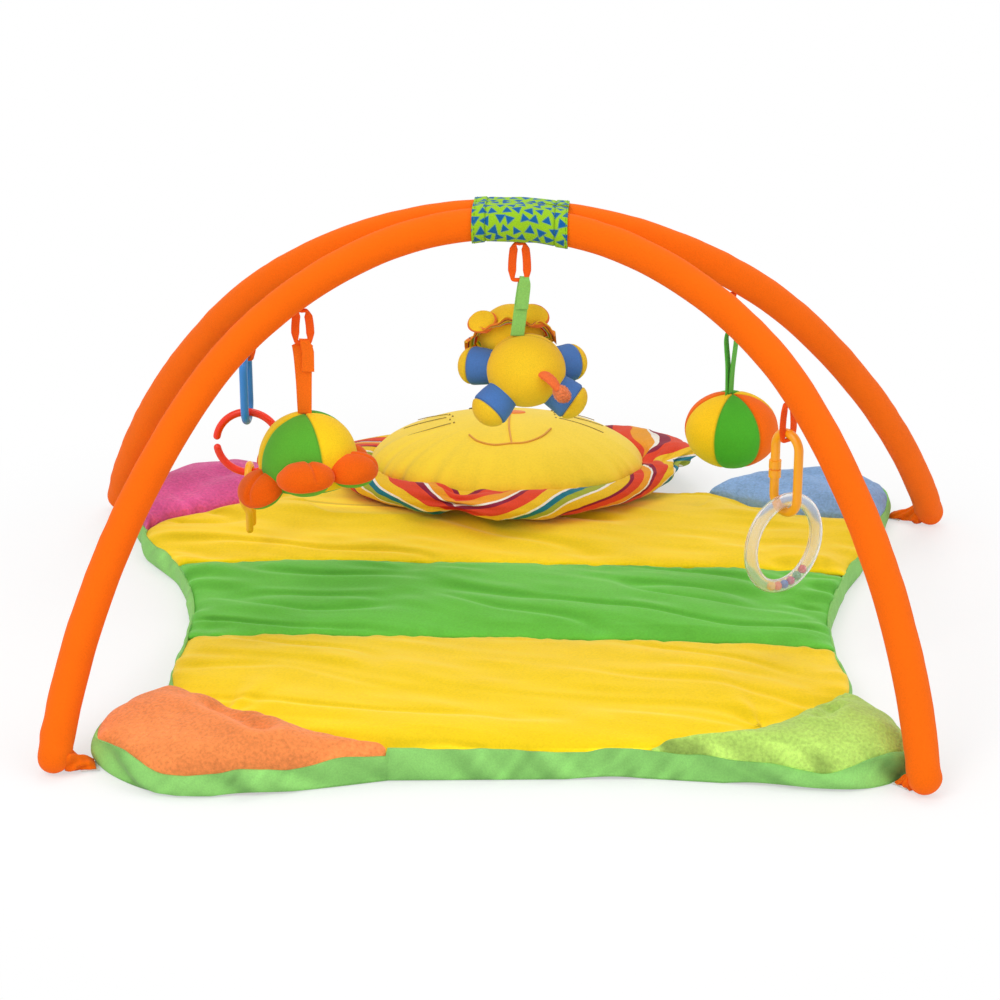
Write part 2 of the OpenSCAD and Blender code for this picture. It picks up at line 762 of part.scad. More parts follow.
module lion_mane() {
    color("#d8452e") at_lion()
        difference() {
            translate(lion_head_at)
                towards(lion_face)
                    ruffle(28, function (a) let (w = 1.5 * cos(5 * a))
                        [[lion_head_r + 0.4, -4], [lion_head_r + 8, -5 + w], [lion_head_r + 15 + w, -1 + w],
                            [lion_head_r + 15 + w, 2 + w], [lion_head_r + 8, 5 + w], [lion_head_r + 0.4, 4]]);
            sphere(lion_r + fit);
        }
}

// Ears stand on the back of the head, just behind the mane
module lion_ear(s) {
    up = unit(cross([1, 0, 0], lion_face));
    color(yellow) at_lion()
        difference() {
            translate(lion_head_at + s * 24 * [1, 0, 0] + 30 * up - 12 * lion_face)
                towards(lion_face)
                    pebble(14, 5);
            lion_head_ball(fit);
            sphere(lion_r + fit);
        }
}

module lion_leg(i) {
    root = 26;
    swell = lion_leg_reach - root;
    steps = 12;
    color(blue) at_lion()
        difference() {
            towards(leg_ways[i])
                translate([0, 0, root])
                    rotate_extrude()
                        polygon(concat([[0, 0]],
                            [for (j = [0 : steps]) let (t = j / steps)
                                [max(0, mix(lion_leg_r * 0.8, lion_leg_r, sqrt(t)) * pow(1 - pow(t, 5), 0.5)), swell * t]]));
            sphere(lion_r + fit);
            lion_head_ball(fit);
            lion_mane_ring(4);
        }
}

module lion_tail() {
    color("#f4844a") at_lion()
        difference() {
            translate((lion_r - 4) * tail_way)
                towards(tail_bend)
                    cylinder(h = tail_l, r1 = tail_r - 1, r2 = tail_r);
            sphere(lion_r + fit);
        }
}

module lion_tail_tuft() {
    color(orange) at_lion()
        difference() {
            translate((lion_r - 4) * tail_way + (tail_l + 5) * tail_bend)
                towards(tail_bend)
                    pebble(tuft_r, tuft_r + 2);
            translate((lion_r - 4) * tail_way)
                towards(tail_bend)
                    cylinder(h = tail_l + fit, r = tail_r + fit);
            towards(leg_ways[3])
                cylinder(h = lion_leg_reach + fit, r = lion_leg_r + fit);
        }
}

// Hanging links: each rests on the bar of the piece above, and its own lowest bar carries the next
function link_low(bar, length, r) = bar + fit + 3 * r - length;

module stand(turn) {
    rotate([90, 0, turn]) children();
}

module oblong_link(bar, length, width, r) {
    mid = width / 2 - r;
    top = bar + fit + 2 * r - width / 2;
    low = bar + fit + 2 * r - length + width / 2;
    translate([0, 0, top]) stand(90) bend(mid, 0, 180) circle(r);
    translate([0, 0, low]) stand(90) bend(mid, 180, 360) circle(r);
    for (s = [-1, 1])
        translate([0, s * mid, low]) cylinder(h = top - low, r = r);
}

blue_low = link_low(bar_r, blue_l, blue_bar_r);
red_r = red_d / 2 - red_bar_r;
red_mid = blue_bar_r + fit + red_bar_r - red_r;
yellow_at = blue_low + red_mid - red_r;

module chain_blue_link() {
    color(blue) at(chain_bar, 0) oblong_link(bar_r, blue_l, blue_w, blue_bar_r);
}

module chain_red_ring() {
    color("#e23b2e") at(chain_bar, 0)
        translate([0, 0, blue_low + red_mid])
            stand(0) {
                bend(red_r, 180 + red_gap / 2, 540 - red_gap / 2, seam) circle(red_bar_r);
                for (s = [-1, 1])
                    rotate(180 + s * red_gap / 2)
                        translate([red_r, 0, 0])
                            rotate([s * 90, 0, 0])
                                cap(red_bar_r);
            }
}

// A hairpin whose two prongs bow out to the left, just as far as brings their tips near the mat
tip_l = 16;
yellow_top = red_bar_r + fit + 2 * yellow_bar_r - yellow_w / 2;
chain_rest = edge_h + seam_rise + panel_crown + chain_clear;
bow = asin((chain_bar.z + yellow_at + yellow_top - tip_l - yellow_bar_r - chain_rest) / (4 * wave_r));

module chain_yellow_link() {
    mid = yellow_w / 2 - yellow_bar_r;
    top = yellow_top;
    color("#f9b71c") at(chain_bar, 0)
        translate([0, 0, yellow_at]) {
            translate([0, 0, top]) stand(90) bend(mid, 0, 180, seam) circle(yellow_bar_r);
            for (s = [-1, 1])
                translate([0, s * mid, top]) {
                    translate([-wave_r, 0, 0]) stand(0) bend(wave_r, -bow, 0, seam) circle(yellow_bar_r);
                    translate([wave_r * (2 * cos(bow) - 1), 0, -2 * wave_r * sin(bow)])
                        stand(0) bend(wave_r, 180 - bow, 180 + bow, seam) circle(yellow_bar_r);
                    translate([-wave_r, 0, -4 * wave_r * sin(bow)])
                        stand(0) bend(wave_r, 0, bow, seam) circle(yellow_bar_r);
                    translate([0, 0, -4 * wave_r * sin(bow)])
                        mirror([0, 0, 1]) {
                            cylinder(h = tip_l, r = yellow_bar_r);
                            translate([0, 0, tip_l + seam]) cap(yellow_bar_r);
                        }
                }
        }
}

// Rattle: a clasp link and a clear hollow ring of two welded halves
clasp_low = link_low(bar_r, clasp_l, clasp_bar_r);
ring_r = ring_d / 2 - ring_tube_r;
ring_mid = clasp_low + clasp_bar_r + fit + ring_tube_r - ring_r;
bead_count = 6;
bead_turn = 9;

module rattle_link() {
    far = clasp_w / 2 - clasp_bar_r;
    middle = bar_r + fit + 2 * clasp_bar_r - clasp_l / 2;
    knob_r = clasp_bar_r + 1.6;
    knob_l = 8;
    color("#f9b71c") at(rattle_bar, rattle_turn) {
        oblong_link(bar_r, clasp_l, clasp_w, clasp_bar_r);
        for (z = [-knob_l - 1, 1])
            translate([0, far, middle + z]) cylinder(h = knob_l, r = knob_r);
    }
}

module at_ring() {
    at(rattle_bar, rattle_turn)
        translate([0, 0, ring_mid])
            stand(0)
                children();
}

module ring_half(s) {
    color([0.9, 0.95, 1, 0.4]) at_ring()
        rotate_extrude()
            translate([ring_r, 0])
                intersection() {
                    annulus(ring_tube_r, ring_tube_r - ring_wall);
                    translate([-ring_tube_r, s > 0 ? 0 : -ring_tube_r]) square([2 * ring_tube_r, ring_tube_r]);
                }
}

module rattle_beads() {
    pitch = 2 * asin((bead_r + 0.1) / ring_r);
    color("#e8452e") at_ring()
        for (i = [0 : bead_count - 1])
            rotate(-90 + bead_turn + (i - (bead_count - 1) / 2) * pitch)
                translate([ring_r, 0, 0]) sphere(bead_r);
}

// Pivots and bars, in the order of the hanging toys
echo(arch_feet = [foot(FRONT, 1), foot(BACK, 1)], lean = lean);
echo(pivots = [turtle_pivot, rattle_pivot, chain_pivot, ball_pivot, lion_pivot]);
echo(bars = [turtle_bar, rattle_bar, chain_bar, ball_bar, lion_bar]);
echo(blue_low = blue_low, red_mid = blue_low + red_mid, yellow_at = yellow_at, clasp_low = clasp_low, ring_mid = ring_mid);

mat_backing();
mat_filling();
mat_border();
panel_front();
panel_band();
panel_back();
paw_front_left();
paw_front_right();
paw_back_left();
paw_back_right();
corner_tabs();
head_pillow();
head_mane();
poles(FRONT);  // front_poles
pole_joiner(FRONT);  // front_pole_joiner
foam(FRONT);  // front_foam
sleeve(FRONT);  // front_sleeve
tails(FRONT);  // front_tails
poles(BACK);  // back_poles
pole_joiner(BACK);  // back_pole_joiner
foam(BACK);  // back_foam
sleeve(BACK);  // back_sleeve
tails(BACK);  // back_tails
wrap(FRONT);  // wrap_front
wrap(BACK);  // wrap_back
at(turtle_pivot, 0) loop(turtle_loop_l);  // turtle_loop
at(rattle_pivot, rattle_turn) loop(rattle_loop_l);  // rattle_loop
at(chain_pivot, 0) loop(chain_loop_l);  // chain_loop
at(ball_pivot, ball_turn) loop(ball_loop_l);  // ball_loop
at(lion_pivot, 0) loop(lion_loop_l);  // lion_loop
at(turtle_bar, 0) strap(turtle_strap_l, orange);  // turtle_strap
at(ball_bar, ball_turn) strap(ball_strap_l, green);  // ball_strap
at(lion_bar, 0) strap(lion_strap_l, green);  // lion_strap
turtle_shell();
turtle_belly();
turtle_head();
flipper(0, 0);  // turtle_leg_near
flipper(72, 0);  // turtle_leg_right
flipper(-72, 6);  // turtle_leg_left
flipper(-144, 0);  // turtle_leg_far
ball();
lion_body();
lion_head();
lion_mane();
lion_ear(-1);  // lion_ear_left
lion_ear(1);  // lion_ear_right
lion_leg(0);  // lion_leg_front_left
lion_leg(1);  // lion_leg_front_right
lion_leg(2);  // lion_leg_rear_left
lion_leg(3);  // lion_leg_rear_right
lion_tail();
lion_tail_tuft();
chain_blue_link();
chain_red_ring();
chain_yellow_link();
rattle_link();
ring_half(1);  // rattle_ring_front
ring_half(-1);  // rattle_ring_back
rattle_beads();
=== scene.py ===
import math

import bmesh
import bpy
import numpy as np
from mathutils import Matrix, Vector


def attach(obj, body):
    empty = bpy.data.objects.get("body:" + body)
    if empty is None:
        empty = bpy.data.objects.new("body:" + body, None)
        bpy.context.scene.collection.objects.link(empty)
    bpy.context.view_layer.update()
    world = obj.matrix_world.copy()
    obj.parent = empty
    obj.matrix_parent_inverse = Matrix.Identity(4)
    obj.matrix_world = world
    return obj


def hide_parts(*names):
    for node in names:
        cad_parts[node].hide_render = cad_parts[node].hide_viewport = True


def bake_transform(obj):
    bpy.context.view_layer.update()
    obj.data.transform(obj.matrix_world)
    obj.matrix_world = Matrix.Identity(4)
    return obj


bl_info = {
    "name": "Activity Play Gym",
    "version": (1, 0, 0),
    "blender": (4, 5, 0),
    "location": "View3D > Sidebar > Play Gym",
    "description": "Dresses the frame of a padded play gym: mat, head pillow, arches and hanging toys",
    "category": "Object",
}

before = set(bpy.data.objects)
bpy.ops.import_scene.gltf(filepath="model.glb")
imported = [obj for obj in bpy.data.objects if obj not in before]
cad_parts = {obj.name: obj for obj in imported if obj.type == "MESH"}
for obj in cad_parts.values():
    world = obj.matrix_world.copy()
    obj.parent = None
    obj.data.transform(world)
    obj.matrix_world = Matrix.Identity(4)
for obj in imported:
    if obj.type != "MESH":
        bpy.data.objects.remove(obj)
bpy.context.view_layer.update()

# Everything below is worked out in millimetres, and meshes are made in metres.
MM = 0.001
# In metres: points closer than this are one, and edges shorter than this are none.
MERGE_GAP = 2e-6
EMPTY_EDGE = 1e-7

# Sizes that follow the solids
SLEEVE_R = 16.8
APEX_H = 447.0
APEX_OFF = 17.1
ARCHES = {
    "front": {"side": -1, "half": 410.0, "reach": 386.0, "r": (298.0, 399.0), "turn": (27.0, 62.0)},
    "back": {"side": 1, "half": 485.0, "reach": 312.0, "r": (335.0, 460.0), "turn": (25.0, 54.0)},
}
LEFT_EDGE = [
    (-92, -386), (-190, -345), (-314, -262), (-328, -125), (-337, -34),
    (-372, 75), (-428, 178), (-345, 248), (-258, 328),
]
RIGHT_EDGE = [
    (154, -369), (255, -335), (347, -235), (344, -120), (344, -28),
    (368, 85), (408, 225), (320, 262), (222, 328),
]
PAW_EDGES = {
    "front_left": [LEFT_EDGE[2], (-362, -300), (-372, -366), (-300, -424), (-205, -419), LEFT_EDGE[0]],
    "front_right": [RIGHT_EDGE[2], (388, -290), (397, -348), (345, -382), (250, -376), RIGHT_EDGE[0]],
    "back_left": [LEFT_EDGE[6], (-452, 240), (-450, 325), (-395, 392), (-318, 388), LEFT_EDGE[8]],
    "back_right": [RIGHT_EDGE[6], (430, 290), (434, 355), (395, 406), (300, 388), RIGHT_EDGE[8]],
}
PAW_SEAMS = {
    "front_left": (LEFT_EDGE, 2, 0),
    "front_right": (RIGHT_EDGE, 2, 0),
    "back_left": (LEFT_EDGE, 6, 8),
    "back_right": (RIGHT_EDGE, 6, 8),
}
EDGE_H = 29.0
MAT_W = 700
# The seams of the panels lie at whole steps along the side edges, and panels stop a small share short of them.
SEAM_STEPS = 32
SEAM_GAP = 0.0006
HEAD_AT = np.array((-21.0, 363.0))
HEAD_R = 166.0
HEAD_T = 82.0
# Height of the pillow's seam, and how far its lower edge is rounded in
PILLOW_SEAM = 22
PILLOW_ROUND = 23
HEAD_TILT = math.radians(6.3)
MANE_END = 254.0
PIVOTS = {
    "turtle": (-205.48, -67.807, 365.156),
    "rattle": (287.108, -126.107, 293.369),
    "chain": (-292.544, 98.519, 302.367),
    "ball": (234.452, 67.312, 350.268),
    "lion": (13.237, -17.291, 425.362),
}
LOOP_L = {"turtle": 33.0, "rattle": 37.0, "chain": 42.0, "ball": 34.0, "lion": 38.0}
TURNS = {"turtle": 0.0, "rattle": 42.0, "chain": 0.0, "ball": 65.0, "lion": 0.0}


def linear(colour):
    """An sRGB hex colour as linear red, green, blue and alpha."""
    parts = [int(colour[i : i + 2], 16) / 255 for i in (1, 3, 5)]
    return (*[c / 12.92 if c < 0.04045 else ((c + 0.055) / 1.055) ** 2.4 for c in parts], 1.0)


def rgb(colour):
    return np.array(linear(colour)[:3])


def circle(count):
    """Angles evenly round a whole turn."""
    return np.linspace(0, 2 * np.pi, count, endpoint=False)


def grid(rows, cols):
    return np.meshgrid(rows, cols, indexing="ij")


def polar(radius, angle):
    """Places at the given angles and distances from a middle."""
    return np.stack([radius * np.cos(angle), radius * np.sin(angle)], -1)


def within(x):
    return np.clip(x, 0, 1)


def mixed(first, second, share):
    """One colour turning into another as the share goes from 0 to 1."""
    return first * (1 - share[..., None]) + second * share[..., None]


def bell(x, width):
    """1 at x = 0, falling off over the given width on both sides."""
    return np.exp(-((x / width) ** 2))


def unit(v):
    v = np.asarray(v, float)
    return v / np.linalg.norm(v, axis=-1, keepdims=True)


def along(points, t):
    """Points at shares t of a smooth curve through a few points."""
    p = np.asarray(points, float)
    n = len(p) - 1
    t = np.atleast_1d(np.asarray(t, float)) * n
    i = np.clip(np.floor(t).astype(int), 0, n - 1)
    f = (t - i)[:, None]
    a, b, c, d = p[np.maximum(i - 1, 0)], p[i], p[i + 1], p[np.minimum(i + 2, n)]
    return 0.5 * (2 * b + (c - a) * f + (2 * a - 5 * b + 4 * c - d) * f**2 + (3 * b - a - 3 * c + d) * f**3)


def rumple(x, y, size, seed):
    """Smooth noise from -1 to 1 over a plane, with bumps of the given size."""
    table = np.random.default_rng(seed).uniform(-1, 1, (64, 64))
    u, v = np.asarray(x) / size, np.asarray(y) / size
    i, j = np.floor(u).astype(int), np.floor(v).astype(int)
    f, g = u - i, v - j
    f, g = f * f * (3 - 2 * f), g * g * (3 - 2 * g)
    near = table[i % 64, j % 64] * (1 - f) + table[(i + 1) % 64, j % 64] * f
    far = table[i % 64, (j + 1) % 64] * (1 - f) + table[(i + 1) % 64, (j + 1) % 64] * f
    return near * (1 - g) + far * g


def grid_faces(rows, cols, wrap_rows=False, wrap_cols=False):
    i, j = grid(np.arange(rows if wrap_rows else rows - 1), np.arange(cols if wrap_cols else cols - 1))
    k, m = (i + 1) % rows, (j + 1) % cols
    return np.stack([i * cols + j, k * cols + j, k * cols + m, i * cols + m], -1).reshape(-1, 4)


def piece(name, points, faces, material, tint=None):
    """A closed, smooth mesh piece with its place in its mesh. tint is a linear colour for each point."""
    mesh = bpy.data.meshes.new(name)
    faces = faces if isinstance(faces, list) else faces.tolist()
    mesh.from_pydata((np.asarray(points, float).reshape(-1, 3) * MM).tolist(), [], faces)
    if tint is not None:
        colours = np.asarray(tint, float).reshape(-1, 3)
        colours = np.c_[colours, np.ones(len(colours))].astype(np.float32)
        mesh.attributes.new("tint", "FLOAT_COLOR", "POINT").data.foreach_set("color", colours.ravel())
    work = bmesh.new()
    work.from_mesh(mesh)
    bmesh.ops.remove_doubles(work, verts=work.verts, dist=MERGE_GAP)
    bmesh.ops.dissolve_degenerate(work, edges=work.edges, dist=EMPTY_EDGE)
    bmesh.ops.recalc_face_normals(work, faces=work.faces)
    for face in work.faces:
        face.smooth = True
    work.to_mesh(mesh)
    work.free()
    made = bpy.data.objects.new(name, mesh)
    bpy.context.scene.collection.objects.link(made)
    mesh.materials.append(material)
    return made


def joined(parts):
    """Several (points, faces, tint) meshes as one."""
    points, faces, tints, start = [], [], [], 0
    for p, f, t in parts:
        p = np.asarray(p, float).reshape(-1, 3)
        points.append(p)
        faces.extend([[int(v) + start for v in face] for face in f])
        t = np.asarray(t, float)
        tints.append(np.broadcast_to(t[..., :3].reshape(-1, 3), (len(p), 3)))
        start += len(p)
    return np.concatenate(points), faces, np.concatenate(tints)


def sweep(centres, side, up, profile):
    """Rings of a profile (rings, points, 2) along a path, with end caps fanned to the rings' middles."""
    centres = np.asarray(centres, float)
    side, up = (np.broadcast_to(way, centres.shape)[:, None, :] for way in (side, up))
    ring = centres[:, None, :] + profile[..., :1] * side + profile[..., 1:] * up
    rows, cols = ring.shape[:2]
    points = np.concatenate([ring.reshape(-1, 3), np.stack([ring[0].mean(0), ring[-1].mean(0)])])
    faces = grid_faces(rows, cols, wrap_cols=True).tolist()
    first, last, start = rows * cols, rows * cols + 1, (rows - 1) * cols
    faces += [[first, (j + 1) % cols, j] for j in range(cols)]
    faces += [[last, start + j, start + (j + 1) % cols] for j in range(cols)]
    return points, faces


def tube(path, radius, sides, flat=1.0):
    """A tube along a path; radius may change along it, and flat squeezes it across."""
    path = np.asarray(path, float)
    t = unit(np.gradient(path, axis=0))
    ref = np.array((0.0, 0.0, 1.0)) if abs(t[:, 2]).mean() < 0.8 else np.array((0.0, 1.0, 0.0))
    side = unit(np.cross(t, ref))
    up = np.cross(side, t)
    a = circle(sides)
    r = np.broadcast_to(np.asarray(radius, float), (len(path),))
    return sweep(path, side, up, polar(r[:, None], a) * (1, flat))


def set_fields(node, fields):
    """Sets a node's own settings, or constants on its sockets."""
    for key, value in fields.items():
        if isinstance(key, int) or key in node.inputs:
            node.inputs[key].default_value = value
        else:
            setattr(node, key, value)


def add(tree, kind, fields=None, links=None):
    """Adds a node with its fields filled; links are other nodes' outputs."""
    made = tree.nodes.new(kind)
    set_fields(made, fields or {})
    for key, socket in (links or {}).items():
        tree.links.new(socket, made.inputs[key])
    return made


def maths(tree, operation, *values):
    """The outcome of an operation on other nodes' outputs."""
    return add(tree, "ShaderNodeMath", {"operation": operation}, dict(enumerate(values))).outputs[0]


def spread(tree, noise, low, high):
    """Spreads the middle of a noise over the given range."""
    return add(tree, "ShaderNodeMapRange", {1: 0.3, 2: 0.7, 3: low, 4: high}, {0: noise.outputs[0]})


def blank_material(name):
    old = bpy.data.materials.get(name)
    if old:
        return old, None, None
    made = bpy.data.materials.new(name)
    made.use_nodes = True
    tree = made.node_tree
    return made, tree, tree.nodes["Principled BSDF"]


def cloth(name, colour, pile, depth, shade, sheen=0.25, rough=0.92, blotch=45.0, bands=None):
    """Cloth with a pile or weave of the given size in mm. colour is hex, or None where the piece's own tint holds it.
    bands are the widths and colours of a stripe repeat, and the tint then holds the distance across it."""
    made, tree, shader = blank_material(name)
    if tree is None:
        return made
    place = add(tree, "ShaderNodeTexCoord").outputs["Object"]
    fine = add(tree, "ShaderNodeTexNoise", {"Scale": 1000 / pile, "Detail": 2.0, "Roughness": 0.6}, {"Vector": place})
    wide = add(tree, "ShaderNodeTexNoise", {"Scale": 1000 / blotch, "Detail": 3.0}, {"Vector": place})
    fine_tone = spread(tree, fine, 1 - shade, 1 + shade * 0.5)
    wide_tone = spread(tree, wide, 1 - shade * 0.45, 1 + shade * 0.3)
    tone = maths(tree, "MULTIPLY", fine_tone.outputs[0], wide_tone.outputs[0])
    toned = add(tree, "ShaderNodeMix", {"data_type": "RGBA", "blend_type": "MULTIPLY", 0: 1.0}, {7: tone})
    if colour is None:
        tint = add(tree, "ShaderNodeAttribute", {"attribute_name": "tint"}).outputs["Color"]
        if bands:
            total = sum(w for w, _ in bands)
            share = add(tree, "ShaderNodeMath", {"operation": "DIVIDE", 1: total}, {0: tint})
            share = maths(tree, "FRACT", share.outputs[0])
            ramp = add(tree, "ShaderNodeValToRGB", {}, {0: share})
            ramp.color_ramp.interpolation = "CONSTANT"
            start = 0.0
            for k, (width, band) in enumerate(bands):
                stop = ramp.color_ramp.elements[0] if k == 0 else ramp.color_ramp.elements.new(start / total)
                stop.color = linear(band)
                start += width
            ramp.color_ramp.elements.remove(ramp.color_ramp.elements[-1])
            tint = ramp.outputs[0]
        tree.links.new(tint, toned.inputs[6])
    else:
        toned.inputs[6].default_value = linear(colour)
    tree.links.new(toned.outputs[2], shader.inputs["Base Color"])
    bump = add(tree, "ShaderNodeBump", {"Strength": depth, "Distance": pile * 0.5 * MM}, {"Height": fine.outputs[0]})
    tree.links.new(bump.outputs[0], shader.inputs["Normal"])
    set_fields(shader, {"Roughness": rough, "Sheen Weight": sheen, "Sheen Roughness": 0.45, "Specular IOR Level": 0.2})
    return made


def moulded(name, colour, rough, see_through=0.0, ior=1.5):
    """Injection-moulded plastic: even colour, soft gloss and a faint flow unevenness."""
    made, tree, shader = blank_material(name)
    if tree is None:
        return made
    place = add(tree, "ShaderNodeTexCoord").outputs["Object"]
    flow = add(tree, "ShaderNodeTexNoise", {"Scale": 60.0, "Detail": 2.0}, {"Vector": place})
    gloss = spread(tree, flow, rough * 0.8, rough * 1.3)
    tree.links.new(gloss.outputs[0], shader.inputs["Roughness"])
    if colour is None:
        tint = add(tree, "ShaderNodeAttribute", {"attribute_name": "tint"})
        tree.links.new(tint.outputs["Color"], shader.inputs["Base Color"])
    else:
        shader.inputs["Base Color"].default_value = linear(colour)
    bump = add(tree, "ShaderNodeBump", {"Strength": 0.04, "Distance": 0.4 * MM}, {"Height": flow.outputs[0]})
    tree.links.new(bump.outputs[0], shader.inputs["Normal"])
    set_fields(shader, {"IOR": ior, "Transmission Weight": see_through})
    return made


class PlayGymSettings(bpy.types.PropertyGroup):
    """Sizes and colours of the cloth that a user would change."""

    fold_depth: bpy.props.FloatProperty(
        name="Fold depth", description="Depth of the soft folds in the mat",
        default=7.0 * MM, min=0, max=10 * MM, unit="LENGTH",
    )
    pucker_depth: bpy.props.FloatProperty(
        name="Pucker depth", description="Depth of the small gathers along seams",
        default=1.5 * MM, min=0, max=4 * MM, unit="LENGTH",
    )
    pile_size: bpy.props.FloatProperty(
        name="Pile size", description="Size of the plush's tufts, drawn coarse enough to show",
        default=2.4 * MM, min=0.5 * MM, max=6 * MM, unit="LENGTH",
    )
    stitch_length: bpy.props.FloatProperty(
        name="Stitch length", description="Length of one stitch of the seams",
        default=4.0 * MM, min=2 * MM, max=8 * MM, unit="LENGTH",
    )
    plush_colour: bpy.props.StringProperty(
        name="Plush", description="Yellow of the mat and the head, as sRGB hex",
        default="#FFDA10",
    )
    band_colour: bpy.props.StringProperty(
        name="Band", description="Green of the mat's band, as sRGB hex",
        default="#6AC942",
    )
    sleeve_colour: bpy.props.StringProperty(
        name="Sleeve", description="Orange of the arches, as sRGB hex",
        default="#FF6E00",
    )
    border_colour: bpy.props.StringProperty(
        name="Border", description="Light green of the mat's border, as sRGB hex",
        default="#90D070",
    )


def settings():
    return bpy.context.scene.play_gym


def finish_soft(made, body, nodes):
    """Parents a soft piece to the body it rides on and hides the solids it stands for."""
    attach(made, body)
    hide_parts(*nodes)
    return made


def sew(name, shape, material, body, nodes):
    points, faces, tint = shape
    return finish_soft(piece(name, points, faces, material, tint), body, nodes)


# Mat

def seam_height(t, v):
    return EDGE_H + 6 * (1 - (2 * v - 1) ** 4) * (1 - (2 * t - 1) ** 6)


def head_plane(y):
    return 45.5 - (y - 186) * math.tan(HEAD_TILT)


def pressed(x, y, z):
    """The mat gives way under the head pillow, which rests on it."""
    far = np.maximum(0, np.hypot(x - HEAD_AT[0], y - HEAD_AT[1]) - MANE_END)
    return np.minimum(z, head_plane(y) - 0.3 + 0.5 * far)


def pad(name, xy, top, low, material, tint=None):
    """A closed quilted piece over a grid of places, between two heights."""
    rows, cols = top.shape
    n = rows * cols
    points = np.concatenate([np.dstack([xy, top]).reshape(-1, 3), np.dstack([xy, low]).reshape(-1, 3)])
    sheet = grid_faces(rows, cols)
    faces = sheet.tolist() + (sheet[:, ::-1] + n).tolist()
    rim = [*range(cols), *[i * cols + cols - 1 for i in range(1, rows)]]
    rim += [*[(rows - 1) * cols + j for j in range(cols - 2, -1, -1)], *[i * cols for i in range(rows - 2, 0, -1)]]
    faces += [[a, b, b + n, a + n] for a, b in zip(rim, rim[1:] + rim[:1])]
    return piece(name, points, faces, material, None if tint is None else np.concatenate([tint.reshape(-1, 3)] * 2))


def folds(x, y, seed):
    """Soft folds that run across the mat, slanting down to the right as the cloth lies."""
    depth = settings().fold_depth / MM
    run = 0.22 * x + y + 16 * rumple(x, y, 110, seed + 3)
    wide = rumple(x / 3.4 + 0.1 * y, run, 60, seed)
    crease = bell(rumple(x / 4.6, run, 44, seed + 2), 0.17)
    fine = rumple(x / 3.0, run, 17, seed + 1)
    return depth * (0.25 + 0.85 * wide - 0.7 * crease + 0.3 * fine)


def painted_slope_shade(colour, slope):
    """Painted shade: darker on slopes that rise towards the back and lighter on those that fall, as light would show
    the folds. Gives each point its tint.
    """
    return rgb(colour) * np.clip(1 - slope, 0.6, 1.3)[..., None]


def climb(xy, z):
    """How steeply heights over a grid of places rise towards the back."""
    (xu, xv), (yu, yv), (zu, zv) = np.gradient(xy[..., 0]), np.gradient(xy[..., 1]), np.gradient(z)
    turn = xu * yv - xv * yu
    return (xu * zv - xv * zu) / np.where(np.abs(turn) < 1e-6, 1e-6, turn)


def mat_panel(name, first, last, seed, material, colour, slack):
    """One plush panel between two seams; slack is how much of the folds it has. The front one puckers at its edge."""
    rows, cols = 116, 230
    t = np.linspace(first / SEAM_STEPS + SEAM_GAP, last / SEAM_STEPS - SEAM_GAP, rows)
    v = np.linspace(0, 1, cols)
    left, right = along(LEFT_EDGE, t), along(RIGHT_EDGE, t)
    xy = left[:, None] + (right - left)[:, None] * v[None, :, None]
    u, w = grid(np.linspace(0, 1, rows), v)
    x, y = xy[..., 0], xy[..., 1]
    length = np.linalg.norm(np.diff(xy, axis=0), axis=-1).sum(0)[None, :]
    seam = np.minimum(u, 1 - u) * length
    side = np.minimum(w, 1 - w) * MAT_W
    base = seam_height(t[:, None], w)
    swell = 7 * (1 - np.abs(2 * u - 1) ** 2.6) * (1 - np.abs(2 * w - 1) ** 4)
    pucker = settings().pucker_depth / MM
    small = rumple(x, seam * 0.25, 13, seed + 5) + 0.5 * rumple(x, seam * 0.2, 6, seed + 6)
    gathers = pucker * np.exp(-seam / 11) * small
    drag = 2.4 * pucker * np.exp(-side / 40) * rumple(y + 0.25 * side, side * 0.12, 17, seed + 7)
    quiet = within(seam / 20) * within(side / 25)
    edge = -2.6 * np.exp(-seam / 3.2) - 4.5 * np.exp(-side / 5)
    relief = slack * folds(x, y, seed) * quiet + gathers + drag
    if first == 0:
        from_edge = u * length
        relief = relief + 3.6 * np.exp(-from_edge / 42) * rumple(x, from_edge * 0.15, 38, seed + 8)
        for corner in (-1, 1):
            dx, dy = x - corner * 262, y + 318
            reach = np.hypot(dx, dy)
            fan = rumple(np.arctan2(dy, -corner * dx) * 120, reach * 0.12, 44, seed + 9)
            relief = relief + 3.4 * np.exp(-reach / 130) * quiet * fan
    top = pressed(x, y, base + swell + relief + edge)
    low = pressed(x, y, base) - 6
    # The panel's tint is painted shade on the slopes of its folds.
    return pad(name, xy, top, low, material, painted_slope_shade(colour, 0.42 * climb(xy, relief)))


